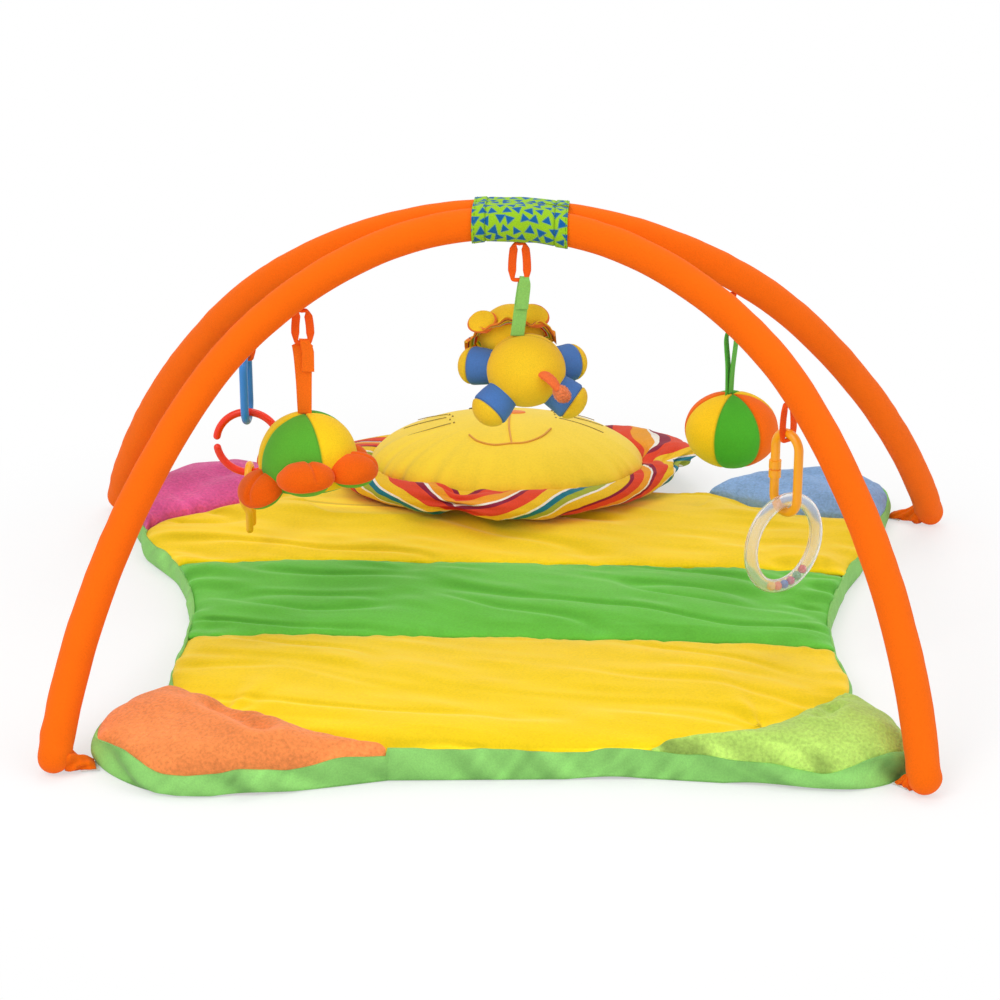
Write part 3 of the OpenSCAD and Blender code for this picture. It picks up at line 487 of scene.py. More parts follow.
def paw_pad(name, seed, material, fold, colour):
    """A terry paw between its seam and its outer edge; fold is a crease from one place to another, with its depth."""
    rows, cols = 96, 64
    curve, first, last = PAW_SEAMS[name]
    s = np.linspace(0.012, 0.988, rows)
    outer = along(PAW_EDGES[name], s)
    inner = along(curve, (first + (last - first) * s) / 8)
    inner = inner + unit(outer - inner) * 0.8
    v = np.linspace(0, 1, cols)
    xy = inner[:, None] + (outer - inner)[:, None] * v[None, :, None]
    x, y = xy[..., 0], xy[..., 1]
    u, w = grid(s, v)
    across = np.linalg.norm(outer - inner, axis=-1)[:, None]
    rim, seam = (1 - w) * across, w * across
    crown = 20 * within(4 * u * (1 - u)) ** 0.85 * within(1 - (2 * w - 1) ** 2) ** 0.8
    top = seam_height(0.1, 0.1) + 3 * (1 - w) - 3 * w**2 + crown
    run = u * 330
    relief = 3.0 * np.exp(-rim / 14) * rumple(run, rim * 0.3, 15, seed)
    relief = relief + 2.2 * np.exp(-seam / 18) * rumple(run, seam * 0.2, 13, seed + 1)
    quiet = within(rim / 25) * within(seam / 25)
    relief = relief + (2.6 * rumple(x, y, 46, seed + 2) + 1.2 * rumple(x + 0.6 * y, y, 21, seed + 3)) * quiet
    a, b, depth, width = fold
    a, b = np.asarray(a, float), np.asarray(b, float)
    k = within(((xy - a) @ (b - a)) / ((b - a) @ (b - a)))
    away = np.linalg.norm(xy - (a + k[..., None] * (b - a)), axis=-1)
    relief = relief - depth * bell(away, width) + 0.35 * depth * bell(away - 2.1 * width, width)
    top = top + relief - 5 * np.exp(-rim / 4) - 2 * np.exp(-seam / 3)
    # The paw's tint is painted shade on the slopes of its creases.
    return pad("paw_" + name + "_pad", xy, top, np.full_like(top, 3.3), material, painted_slope_shade(colour, 0.3 * climb(xy, relief)))


def mat_outline(steps):
    """The whole outline, evenly spaced, anticlockwise from the front edge."""
    t = np.linspace(0, 1, 120)
    runs = [
        np.linspace(LEFT_EDGE[0], RIGHT_EDGE[0], 40),
        along(PAW_EDGES["front_right"], 1 - t),
        along(RIGHT_EDGE, np.linspace(0.25, 0.75, 120)),
        along(PAW_EDGES["back_right"], t),
        np.linspace(RIGHT_EDGE[8], LEFT_EDGE[8], 60),
        along(PAW_EDGES["back_left"], 1 - t),
        along(LEFT_EDGE, np.linspace(0.75, 0.25, 120)),
        along(PAW_EDGES["front_left"], t),
    ]
    line = np.concatenate([r[:-1] for r in runs])
    gaps = np.linalg.norm(np.roll(line, -1, 0) - line, axis=-1)
    run = np.concatenate([[0], np.cumsum(gaps)])
    at = np.linspace(0, run[-1], steps, endpoint=False)
    ring = np.vstack([line, line[:1]])
    return np.stack([np.interp(at, run, ring[:, i]) for i in (0, 1)], -1), at


def outward(ring):
    t = unit(np.roll(ring, -1, 0) - np.roll(ring, 1, 0))
    return np.stack([t[:, 1], -t[:, 0]], -1)


def mat_border_band(material, colour):
    """The gathered cloth round the mat's side, with deeper gathers along the front."""
    ring, run = mat_outline(1500)
    out = outward(ring)
    w = np.linspace(0, 1, 13)
    s, z = grid(run, w * (EDGE_H - 3.6))
    slack = 0.45 + 0.55 * within(1.6 * rumple(s, z * 0, 120, 44) + 0.4)
    gather = slack * (2.8 * rumple(s + 0.9 * z, z * 0.5, 24, 40) + 1.2 * rumple(s - 0.8 * z, z * 0.6, 11, 41))
    front = within((-ring[:, 1] - 300) / 60)[:, None]
    gather = gather + front * 5.5 * rumple(s + 1.7 * z, z * 0.4, 40, 45)
    bulge = 0.6 + 3.4 * np.sin(np.pi * within(w * 0.94 + 0.04)) ** 0.8 + gather * np.sin(np.pi * w) ** 0.5
    bulge = np.maximum(bulge, 0.5)
    lip = z + (2.2 * rumple(s, z * 0, 23, 42) + 8.0 * front * rumple(s, z * 0, 58, 46)) * w
    floor_lift = np.maximum(0, rumple(run, run * 0, 70, 43) - 0.35) * 5
    lip = lip + floor_lift[:, None] * (1 - w) ** 3
    face = np.dstack([ring[:, None] + out[:, None] * bulge[..., None], lip[..., None]])
    back = np.dstack([ring[:, None] + out[:, None] * np.full_like(bulge, -1.2)[..., None], lip[..., None]])[:, ::-1]
    loop = np.concatenate([face, back], 1)
    # The border's tint is painted shade on the sides of its gathers, stronger along the front.
    slope = (0.42 + 0.3 * front) * np.gradient(gather, run, axis=0)
    tint = np.concatenate([painted_slope_shade(colour, slope), painted_slope_shade(colour, slope[:, ::-1])], 1)
    return piece("mat_border_band", loop, grid_faces(len(run), loop.shape[1], True, True), material, tint)


def mat_underside(material):
    """The cloth that lies on the floor, its rim a little raised."""
    ring, _ = mat_outline(400)
    middle = np.array((0.0, -20.0))
    shares = np.array([0.972, 0.96, 0.9, 0.7, 0.4, 0.001])
    low = middle + (ring - middle)[None] * shares[:, None, None]
    under, over = (
        np.dstack([low, np.broadcast_to(np.array(heights)[:, None, None], (*low.shape[:2], 1))])
        for heights in ([0.9, 0.0, 0.0, 0.0, 0.0, 0.0], [1.6, 2.6, 2.6, 2.6, 2.6, 2.6])
    )
    loop = np.concatenate([under[::-1], over])
    return piece("mat_underside_cloth", loop, grid_faces(len(loop), len(ring), True, True), material)


class PLAYGYM_OT_mat(bpy.types.Operator):
    """Quilted plush panels, terry paws, gathered border and underside of the mat"""

    bl_idname = "play_gym.mat"
    bl_label = "Mat"

    def execute(self, context):
        look = settings()
        pile = look.pile_size / MM
        # Short polyester plush: matte, soft-edged shade and a slight halo of pile.
        plush = cloth("yellow short plush", None, pile=pile, depth=0.3, shade=0.07)
        band = cloth("green short plush", None, pile=pile, depth=0.3, shade=0.09)
        yellow, green = (plush, look.plush_colour), (band, look.band_colour)
        for name, first, last, seed, look_of, slack, nodes, slot in (
            ("mat_front_panel", 0, 12, 11, yellow, 0.5, ["panel_front", "mat_filling"], "mat_plush"),
            ("mat_band", 12, 20, 23, green, 0.8, ["panel_band"], "band_plush"),
            ("mat_back_panel", 20, 32, 37, yellow, 0.9, ["panel_back"], "mat_plush"),
        ):
            finish_soft(mat_panel(name, first, last, seed, *look_of, slack), "mat", nodes)
        # Cotton terry: deep loops, drawn large enough to show.
        paws = {
            "front_left": ("#FF9450", "paw_orange", ((-262, -330), (-215, -372), 9.0, 13.0)),
            "front_right": ("#BDE36C", "paw_lime", ((330, -300), (318, -325), 7.0, 9.0)),
            "back_left": ("#E05C9A", "paw_magenta", ((-400, 250), (-360, 310), 5.0, 14.0)),
            "back_right": ("#8DB4E2", "paw_blue", ((380, 300), (350, 350), 5.0, 14.0)),
        }
        for i, (name, (colour, slot, fold)) in enumerate(paws.items()):
            terry = cloth("terry " + slot, None, pile=3.4, depth=0.9, shade=0.20, sheen=0.2)
            finish_soft(paw_pad(name, 60 + 7 * i, terry, fold, colour), "mat", ["paw_" + name])
        # Plain-woven polyester cotton, gathered to the mat.
        border = cloth("light green plain weave", None, pile=1.6, depth=0.25, shade=0.10, sheen=0.1)
        finish_soft(mat_border_band(border, look.border_colour), "mat", ["mat_border"])
        backing = cloth("yellow plain weave", "#F0C22A", pile=1.6, depth=0.25, shade=0.10, sheen=0.1)
        underside = finish_soft(mat_underside(backing), "mat", ["mat_backing"])
        return {"FINISHED"}


# Head pillow

def on_head(local):
    """Points given on the pillow's tilted resting plane, in the frame."""
    local = np.asarray(local, float)
    c, s = math.cos(HEAD_TILT), math.sin(HEAD_TILT)
    x = local[..., 0] + HEAD_AT[0]
    y = local[..., 1] * c + local[..., 2] * s + HEAD_AT[1]
    z = -local[..., 1] * s + local[..., 2] * c + head_plane(HEAD_AT[1])
    return np.stack([x, y, z], -1)


def pillow_top(r):
    return PILLOW_SEAM + (HEAD_T - PILLOW_SEAM) * np.sqrt(within(1 - (r / HEAD_R) ** 2))


def head_pillow(material, colour):
    """A round stuffed pillow, puckered along the seam at its foot."""
    turns = 260
    a = circle(turns)
    low = np.radians(np.linspace(-90, 0, 14))[1:]
    high = np.radians(np.linspace(0, 90, 70))[1:]
    base = HEAD_R - PILLOW_ROUND
    r = np.concatenate([np.linspace(0, base, 12), base + PILLOW_ROUND * np.cos(low), HEAD_R * np.cos(high)])
    rise = np.concatenate([PILLOW_SEAM * np.sin(low), (HEAD_T - PILLOW_SEAM) * np.sin(high)])
    z = np.concatenate([np.full(12, 0.3), PILLOW_SEAM + rise])
    rr, aa = grid(r, a)
    zz = np.broadcast_to(z[:, None], rr.shape)
    round_x, round_y = HEAD_R * np.cos(aa), HEAD_R * np.sin(aa)
    near = np.exp(-np.maximum(0, zz - PILLOW_SEAM) / 24) * (zz > 6) * within(rr / 80) ** 2
    near = near * (0.3 + 0.9 * bell(aa - math.radians(225), 0.55) + 0.5 * bell(aa - math.radians(345), 0.3))
    radial = rumple(round_x + 0.12 * zz, round_y, 26, 71) + 0.6 * rumple(round_x, round_y + 0.2 * zz, 12, 72)
    upper = within((zz - 20) / 20)
    swell = near * 5.0 * radial + upper * 1.4 * rumple(rr * np.cos(aa), rr * np.sin(aa), 58, 73)
    grow = 1 + swell / 160
    seam = 1 - 0.012 * bell(zz - 21, 3)
    wide = rr * grow * seam
    local = np.dstack([polar(wide, aa), np.maximum(0.3, zz + swell * 0.5 * upper)])
    # The pillow's tint is painted shade on the sides of the puckers near its seam.
    tint = painted_slope_shade(colour, 0.05 * near * radial + 0.25 * near * (np.roll(radial, -1, 1) - np.roll(radial, 1, 1)))
    return piece("head_pillow_cushion", on_head(local), grid_faces(len(r), turns, False, True), material, tint)


MANE_STRIPES = [
    (15, "#F4C62A"), (3, "#F6EFE2"), (9, "#A7B23A"), (8, "#1F7A8C"), (3, "#F6EFE2"), (13, "#F4C62A"),
    (15, "#E4482B"), (5, "#8E1F3C"), (3, "#F6EFE2"), (10, "#F0A12B"), (13, "#E4482B"), (5, "#8E1F3C"),
]
MANE_REACH = [
    (-180, 226), (-165, 207), (-150, 203), (-125, 200), (-112, 208), (-104, 214), (-90, 219), (-78, 211),
    (-66, 197), (-45, 194), (-25, 198), (-10, 208), (0, 220), (12, 238), (30, 240), (48, 238),
    (66, 226), (90, 238), (110, 238), (130, 225), (150, 234), (180, 226),
]
MANE_TIES = (-165, -104, 0.5, 66, 130)
# Where the stripes have got to, across the repeat in mm, at each tie: they turn back there. It ends as it began.
MANE_TURNS = [(-180, 46.0), (-165, 24.0), (-104, 124.0), (0.5, -30.0), (66, 36.0), (130, -48.0), (180, 46.0)]


def head_mane(material):
    """A striped tube of cloth round the pillow, tacked down at a few places, where it is drawn in."""
    turns, sides = 620, 72
    a = np.linspace(-np.pi, np.pi, turns, endpoint=False)
    b = np.linspace(np.pi, 3 * np.pi, sides, endpoint=False)
    tie = np.zeros(turns)
    slack = np.full(turns, 9.0)
    for p in MANE_TIES:
        gap = np.abs((a - math.radians(p) + np.pi) % (2 * np.pi) - np.pi)
        tie = np.maximum(tie, bell(gap, math.radians(7.5)))
        slack = np.minimum(slack, gap)
    reach = np.interp(np.degrees(a), *zip(*MANE_REACH))
    inner = HEAD_R + 1.0 - 4 * tie
    half = (reach - inner) / 2 * (1 - 0.30 * tie)
    front = within(-np.sin(a + 0.25)) ** 2
    right = within(np.cos(a - 0.2)) ** 4
    tall = (13.4 + 5.6 * front + 5.5 * right + 1.6 * np.sin(9 * a)) * (1 - 0.58 * tie)
    aa, bb = grid(a, b)
    ripple = 1 + 0.08 * rumple(aa * 180, bb * 9, 19, 81) + 0.045 * rumple(aa * 180 + bb * 14, bb * 12, 8, 82)
    fan = np.exp(-slack / math.radians(13))[:, None]
    gather = 1 + (0.18 * tie[:, None] + 0.10 * fan) * np.cos(8 * bb + 1.5 * np.sin(3 * aa))
    across = np.sign(np.cos(bb)) * np.abs(np.cos(bb)) ** 0.8
    r = inner[:, None] + half[:, None] + half[:, None] * ripple * gather * across
    outer = within((r - inner[:, None]) / (2 * half[:, None]))
    lift = 14.6 + 3.8 * front[:, None] + 5.0 * right[:, None] + 7 * outer * within(np.cos(aa - 0.5))
    z = np.maximum(0.3, lift + tall[:, None] * (1.12 - 0.45 * outer) * ripple * gather * np.sin(bb))
    local = np.dstack([polar(r, aa), z])
    slant = np.interp(np.degrees(a), *zip(*MANE_TURNS)) + 5 * np.sin(7 * a)
    band = (bb - np.pi) / (2 * np.pi) * sum(width for width, _ in MANE_STRIPES) + slant[:, None]
    faces, tint = grid_faces(turns, sides, True, True), np.repeat(band.reshape(-1, 1), 3, 1)
    return piece("head_mane_ruffle", on_head(local), faces, material, tint)


MOUTH = [(-40.5, -75.3), (-28.7, -94.2), (-10.1, -104.0), (9.1, -100.2), (28.2, -94.4), (45.4, -73.9), (54.9, -45.7)]
NOSE_LINE = [(3.0, 10.0), (5.0, -46.8), (7.8, -75.7), (11.0, -99.0)]
WHISKERS = [
    [(-116.6, -38.6), (-92.0, -37.0), (-66.0, -27.5)],
    [(-125.9, 6.0), (-98.0, 3.5), (-74.0, 6.5)],
    [(-112.0, 46.0), (-92.0, 35.0), (-74.0, 27.8)],
    [(63.0, 5.0), (90.0, -2.0), (117.0, -12.0)],
    [(62.0, 32.0), (88.0, 29.0), (116.0, 28.0)],
    [(57.0, 60.0), (82.0, 64.0), (104.0, 76.0)],
]
WHISKER_DOTS = [
    (-71.5, 25.0), (-66.5, 9.1), (-68.3, -8.7), (-62.3, -25.6),
    (52.0, 58.0), (55.8, 40.0), (57.0, 24.0), (59.0, 5.0),
]


def on_pillow(xy, rise):
    xy = np.asarray(xy, float)
    return on_head(np.concatenate([xy, (pillow_top(np.hypot(xy[..., 0], xy[..., 1])) + rise)[..., None]], -1))


def oval(centre, wide, deep):
    """A raised oval of satin stitch on the pillow, as points and faces."""
    rings, sides = 10, 40
    k, a = grid(np.linspace(0, 1, rings), circle(sides))
    xy = centre + polar(k, a) * (wide, deep)
    top, low = on_pillow(xy, 0.9 + 0.9 * np.sqrt(1 - 0.98 * k**2)), on_pillow(xy, -1.5)
    points = np.concatenate([top.reshape(-1, 3), low.reshape(-1, 3)])
    sheet, under, last = grid_faces(rings, sides, wrap_cols=True), rings * sides, (rings - 1) * sides
    edge = [(last + j, last + (j + 1) % sides) for j in range(sides)]
    rim = [[i, j, j + under, i + under] for i, j in edge]
    return points, sheet.tolist() + (sheet[:, ::-1] + under).tolist() + rim


def embroidery(thread):
    """Mouth, nose, whiskers and eyes in raised thread."""
    warm, olive, dark, nose = (rgb(c) for c in ("#E8A444", "#A8924A", "#5A4530", "#F2873C"))
    parts = []
    for line, size, colour in [(MOUTH, 1.15, warm), (NOSE_LINE, 1.0, warm), *[(w, 0.55, olive) for w in WHISKERS]]:
        points, faces = tube(on_pillow(smooth_line(line, 70), 0.9), size, 10)
        parts.append((points, faces, colour))
    for dot in WHISKER_DOTS:
        parts.append((*oval(dot, 1.2, 1.2), olive))
    parts.append((*oval((5.5, 20.0), 16.0, 11.0), nose))
    for x in (-44.0, 62.0):
        parts.append((*oval((x, 84.0), 8.0, 12.0), dark))
    points, faces, tint = joined(parts)
    return piece("head_embroidered_face", points, faces, thread, tint)


class PLAYGYM_OT_head(bpy.types.Operator):
    """Round head pillow with its embroidered face and striped mane"""

    bl_idname = "play_gym.head"
    bl_label = "Head pillow"

    def execute(self, context):
        look = settings()
        plush = cloth("pale yellow short plush", None, pile=look.pile_size / MM, depth=0.25, shade=0.06)
        finish_soft(head_pillow(plush, "#FFDC38"), "mat", ["head_pillow"])
        # Striped plain-woven cotton, sewn as a tube and gathered where it is tacked to the pillow.
        striped = cloth("striped plain weave", None, pile=1.6, depth=0.25, shade=0.10, sheen=0.1, bands=MANE_STRIPES)
        finish_soft(head_mane(striped), "mat", ["head_mane"])
        # Rayon embroidery thread: fine and a little shiny.
        thread = cloth("rayon thread", None, pile=0.9, depth=0.5, shade=0.12, sheen=0.0, rough=0.5)
        face = embroidery(thread)
        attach(face, "mat")
        return {"FINISHED"}


# Stitches

def stitch_tree():
    """Geometry nodes that set one small stitch after another along the lines of a mesh."""
    tree = bpy.data.node_groups.get("stitches along lines")
    if tree:
        return tree
    tree = bpy.data.node_groups.new("stitches along lines", "GeometryNodeTree")
    floats = dict.fromkeys(("Stitch length", "Gap", "Thread size"), "Float")
    for name, kind in {"Geometry": "Geometry", **floats, "Thread": "Material"}.items():
        tree.interface.new_socket(name, in_out="INPUT", socket_type="NodeSocket" + kind)
    tree.interface.new_socket("Geometry", in_out="OUTPUT", socket_type="NodeSocketGeometry")
    inside = add(tree, "NodeGroupInput")
    length, gap, thread = (inside.outputs[name] for name in floats)
    lines = add(tree, "GeometryNodeMeshToCurve", {}, {"Mesh": inside.outputs["Geometry"]})
    spaced = {"Curve": lines.outputs[0], "Length": maths(tree, "ADD", length, gap)}
    even = add(tree, "GeometryNodeResampleCurve", {"mode": "LENGTH"}, spaced)
    half = add(tree, "ShaderNodeMath", {"operation": "MULTIPLY", 1: 0.5}, {0: length})
    size = add(tree, "ShaderNodeCombineXYZ", {}, {0: thread, 1: thread, 2: half.outputs[0]})
    grain = add(tree, "GeometryNodeMeshUVSphere", {"Segments": 8, "Rings": 6, "Radius": 1.0})
    grain = add(tree, "GeometryNodeTransform", {}, {"Geometry": grain.outputs["Mesh"], "Scale": size.outputs[0]})
    tangent = add(tree, "GeometryNodeInputTangent").outputs[0]
    way = add(tree, "FunctionNodeAlignRotationToVector", {"axis": "Z"}, {"Vector": tangent})
    vary = add(tree, "FunctionNodeRandomValue", {"data_type": "FLOAT", 2: 0.86, 3: 1.08, "Seed": 11})
    row = {"Points": even, "Instance": grain, "Rotation": way}
    row = {key: node.outputs[0] for key, node in row.items()}
    set_out = add(tree, "GeometryNodeInstanceOnPoints", {}, {**row, "Scale": vary.outputs[1]})
    real = add(tree, "GeometryNodeRealizeInstances", {}, {0: set_out.outputs[0]})
    dyed = add(tree, "GeometryNodeSetMaterial", {}, {"Geometry": real.outputs[0], "Material": inside.outputs["Thread"]})
    add(tree, "NodeGroupOutput", {}, {0: dyed.outputs[0]})
    return tree


def stitches(name, lines, body, colour, gap, thread):
    """Rows of stitches along lines of points in mm, as one plain mesh that rides on a body."""
    points, edges = [], []
    for line in lines:
        start = len(points)
        points.extend((np.asarray(line, float) * MM).tolist())
        edges.extend((i, i + 1) for i in range(start, len(points) - 1))
    mesh = bpy.data.meshes.new(name + "_lines")
    mesh.from_pydata(points, edges, [])
    made = bpy.data.objects.new(name, mesh)
    bpy.context.scene.collection.objects.link(made)
    modifier = made.modifiers.new("stitches", "NODES")
    tree = stitch_tree()
    modifier.node_group = tree
    # Polyester sewing thread: fine, a little shiny.
    dyed = "thread " + colour.strip("#").lower()
    values = {
        "Stitch length": settings().stitch_length,
        "Gap": gap * MM,
        "Thread size": thread * MM,
        "Thread": cloth(dyed, colour, pile=0.5, depth=0.2, shade=0.08, sheen=0.0, rough=0.55),
    }
    for item in tree.interface.items_tree:
        if item.in_out == "INPUT" and item.name in values:
            modifier[item.identifier] = values[item.name]
    sewn = bpy.data.meshes.new_from_object(made.evaluated_get(bpy.context.evaluated_depsgraph_get()))
    made.modifiers.remove(modifier)
    made.data = sewn
    sewn.name = name
    if not sewn.polygons:
        raise RuntimeError("no stitches on " + name)
    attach(made, body)
    return made


# Arches

def arch_path(arch, step):
    """Centre line, tangents, plane's normal and run along an arch, from its left foot to its right."""
    shape = ARCHES[arch]
    r1, r2 = shape["r"]
    p1, p2 = np.radians(shape["turn"])
    rise = math.hypot(shape["reach"] - APEX_OFF, APEX_H - SLEEVE_R)
    lean = math.atan2(shape["reach"] - APEX_OFF, APEX_H - SLEEVE_R)
    x1, d1 = r1 * math.sin(p1), r1 * (1 - math.cos(p1))
    x2, d2 = x1 + r2 * (math.sin(p2) - math.sin(p1)), d1 + r2 * (math.cos(p1) - math.cos(p2))
    psi = 2 * math.atan2(rise - d2, shape["half"] - x2) - p2
    r3 = (shape["half"] - x2) / (math.sin(psi) - math.sin(p2))
    ends = np.cumsum([r1 * p1, r2 * (p2 - p1), r3 * (psi - p2)])
    s = np.linspace(0, ends[2], int(ends[2] / step) + 1)
    first, second = s < ends[0], s < ends[1]
    turn = np.where(first, s / r1, np.where(second, p1 + (s - ends[0]) / r2, p2 + (s - ends[1]) / r3))
    sine, cosine = np.sin(turn), np.cos(turn)
    x = np.where(second, x1 + r2 * (sine - np.sin(p1)), x2 + r3 * (sine - np.sin(p2)))
    d = np.where(second, d1 + r2 * (np.cos(p1) - cosine), d2 + r3 * (np.cos(p2) - cosine))
    x, d = np.where(first, r1 * sine, x), np.where(first, r1 * (1 - cosine), d)
    x, d = np.concatenate([-x[:0:-1], x]), np.concatenate([d[:0:-1], d])
    up = np.array((0, -shape["side"] * math.sin(lean), math.cos(lean)))
    foot_y = shape["side"] * shape["reach"]
    path = np.stack([x, np.full_like(x, foot_y), np.full_like(x, SLEEVE_R)], -1) + (rise - d)[:, None] * up
    normal = np.cross((1, 0, 0), up)
    return path, unit(np.gradient(path, axis=0)), normal, np.concatenate([-s[:0:-1], s])


# Where the sleeve's seam lies round it, in degrees from the outside of the bend
SEAM_TURN = 236


def sleeve_tube(arch, seed, material, colour):
    """Padded sleeve with closed round feet, fine drag folds inside its bend and one seam along it."""
    path, t, normal, run = arch_path(arch, 3.0)
    sides = 56
    a = circle(sides)
    caps = np.radians(np.linspace(0, 84, 9))[1:]
    head = [path[0] - t[0] * SLEEVE_R * math.sin(c) for c in caps[::-1]]
    tail = [path[-1] + t[-1] * SLEEVE_R * math.sin(c) for c in caps]
    size = np.concatenate([np.cos(caps[::-1]), np.ones(len(path)), np.cos(caps)])
    path = np.concatenate([head, path, tail])
    t = np.concatenate([np.repeat(t[:1], len(caps), 0), t, np.repeat(t[-1:], len(caps), 0)])
    run = np.concatenate([run[0] - 2.0 * np.arange(len(caps), 0, -1), run, run[-1] + 2.0 * np.arange(1, len(caps) + 1)])
    outer = np.cross(t, normal[None])
    s, b = grid(run, a)
    inside = 0.5 - 0.5 * np.cos(b)
    foot = within((np.abs(s) - (np.abs(run).max() - 75)) / 60)
    drag = 0.34 * inside * rumple(s + 9 * np.sin(b), b * 4, 13, seed) + 0.26 * rumple(s + 14 * b, b * 6, 26, seed + 1)
    gathers = foot * (0.9 * rumple(s, b * 11, 11, seed + 2) - 0.4)
    place = math.radians(SEAM_TURN)
    off = np.abs((b - place + np.pi) % (2 * np.pi) - np.pi) * SLEEVE_R
    ridge = 0.3 * np.exp(-((off - 1.9) ** 2) / 1.4) - 0.45 * bell(off, 1.0)
    r = (SLEEVE_R - 0.15 + drag + gathers + ridge) * size[:, None]
    points, faces = sweep(path, outer, normal, polar(r, a))
    points[:, 2] = np.maximum(points[:, 2], 0.2)
    # Painted shade in the seam's groove and in the hollows of the drag folds.
    shade = 1 - 0.14 * bell(off, 1.1) + 0.05 * np.clip(drag, -1, 0)
    tint = rgb(colour) * np.concatenate([shade.reshape(-1), [1, 1]])[:, None]
    rings = points[: len(path) * sides].reshape(len(path), sides, 3)
    seam = rings[len(caps) : -len(caps), round(place / (2 * np.pi) * sides)]
    return piece(arch + "_sleeve_tube", points, faces, material, tint), seam


# The wrap's middle along X and half its length. Its hems end HEM from its ends, and a second row of stitches is at
# HEM_STITCH from its middle.
WRAP_X = 14.0
WRAP_HALF = 49.2
HEM = 14.0
HEM_STITCH = 46.5
PRINT_PITCH = 12.4


def wrap_half(arch, material):
    """Half of the printed wrap at the apex, with turned hems at both ends."""
    shape = ARCHES[arch]
    path = arch_path(arch, 0.9)[0]
    path = path[np.abs(path[:, 0] - WRAP_X) < WRAP_HALF]
    inner, outer = SLEEVE_R + 0.2, SLEEVE_R + 1.8
    lip = np.linspace(APEX_OFF - 0.15, 1.0, 10)
    away = np.radians(np.linspace(90, 270, 76))
    level = np.ones(len(lip))
    over = np.concatenate([np.c_[lip, level], polar(1, away), np.c_[lip[::-1], -level]])
    flat_part = np.concatenate([level, np.zeros(len(away)), level])

    def grow(r):
        return np.where(flat_part[:, None] == 1, over * np.array((1.0, r)), over * r)

    girth = np.concatenate([[0], np.cumsum(np.linalg.norm(np.diff(grow(outer), axis=0), axis=-1))])
    x = path[:, 0] - WRAP_X
    edge = WRAP_HALF - np.abs(x)
    hem = 0.7 * (edge < 13.2) - 0.7 * bell(edge - HEM, 0.9)
    u, v = grid(x, girth)
    wave = 0.5 * rumple(u, v, 17, 91)
    slack = (wave * within(edge[:, None] / 9))[..., None] * (1 - flat_part[None, :, None])
    faces_out = np.stack([grow(outer + float(h)) for h in hem]) + over[None] * slack
    loop = np.concatenate([faces_out, np.repeat(grow(inner)[::-1][None], len(x), 0)], 1)
    points, faces = sweep(path, (0, -shape["side"], 0.0), (0, 0, 1.0), loop)
    rng = np.random.default_rng(7 if arch == "front" else 8)
    lime, blue = rgb("#9ACB20"), rgb("#0F60A6")
    print_mask = np.zeros_like(u)
    for row, gv in enumerate(np.arange(4, girth[-1], PRINT_PITCH * 0.88)):
        for gu in np.arange(-52 + (row % 2) * PRINT_PITCH / 2, 54, PRINT_PITCH):
            cu, cv = gu + rng.uniform(-2, 2), gv + rng.uniform(-2, 2)
            angle, size = rng.uniform(0, 2 * np.pi), rng.uniform(2.7, 3.4)
            inside = np.full(u.shape, 1e9)
            for k in range(3):
                n = angle + k * 2 * np.pi / 3
                inside = np.minimum(inside, size - ((u - cu) * math.cos(n) + (v - cv) * math.sin(n)))
            print_mask = np.maximum(print_mask, within(inside / 0.7 + 0.5))
    # Painted shade in the crease of each hem.
    line = 1 - 0.35 * bell(edge - HEM, 0.8)[:, None]
    shown = mixed(lime, blue, print_mask) * line[..., None]
    hidden = np.broadcast_to(lime * 0.8, (len(x), len(girth), 3))
    tint = np.concatenate([np.concatenate([shown, hidden], 1).reshape(-1, 3), [lime, lime]])
    rings = points[: len(x) * loop.shape[1]].reshape(len(x), loop.shape[1], 3)
    rows = (HEM - WRAP_HALF, WRAP_HALF - HEM, -HEM_STITCH, HEM_STITCH)
    hems = [rings[np.argmin(np.abs(x - at)), : len(girth)] for at in rows]
    return piece("apex_wrap_" + arch, points, faces, material, tint), hems


CORNERS = {("front", -1): 0.42, ("front", 1): 0.46, ("back", -1): 0.34, ("back", 1): 0.34}


def tie_ends(arch, s):
    """A corner's name, the place on the mat's edge where its tab is sewn, and the arch's foot beside it."""
    shape = ARCHES[arch]
    name = arch + ("_left" if s < 0 else "_right")
    corner = along(PAW_EDGES[name], CORNERS[(arch, s)])[0]
    return name, corner, np.array((s * shape["half"], shape["side"] * shape["reach"]))


def foot_tail(arch, s, material, colour):
    """Gathered end of the sleeve that is tied to the mat's corner tab, crumpled and twisted."""
    name, corner, foot = tie_ends(arch, s)
    way = unit(corner - foot)
    reach = np.linalg.norm(corner - foot)
    k = np.linspace(0, 1, 40)
    d = 9 + k * (reach - 9 - 6)
    middle = foot + way * d[:, None]
    height = np.interp(k, (0, 0.25, 0.6, 1), (13, 9.5, 6.5, 3.4))
    wide = np.interp(k, (0, 0.18, 0.45, 0.8, 1), (13.0, 13.0, 9.6, 11.0, 10.0))
    tall = np.interp(k, (0, 0.18, 0.45, 0.8, 1), (12.5, 11.2, 7.0, 4.4, 1.6))
    a = circle(36)
    kk, aa = grid(k, a)
    fold = 1 + 0.2 * np.sin(5 * aa + 12 * kk) * within(kk * 5) * (1 - 0.6 * kk)
    fold = fold + 0.12 * rumple(kk * 60, aa * 9, 10, 95 + s)
    flat = np.stack([wide[:, None] * fold * np.cos(aa), tall[:, None] * fold * np.sin(aa)], -1)
    path = np.column_stack([middle, height])
    across = np.array((-way[1], way[0], 0.0))
    points, faces = sweep(path, across, (0, 0, 1.0), flat)
    points[:, 2] = np.maximum(points[:, 2], 0.4)
    # Painted shade in the hollows of the crumpled folds.
    shade = np.concatenate([(0.72 + 0.28 * within(fold * 1.4 - 0.6)).reshape(-1), [1, 1]])
    tint = rgb(colour) * shade[:, None]
    return piece(name + "_foot_tail", points, faces, material, tint), foot, way


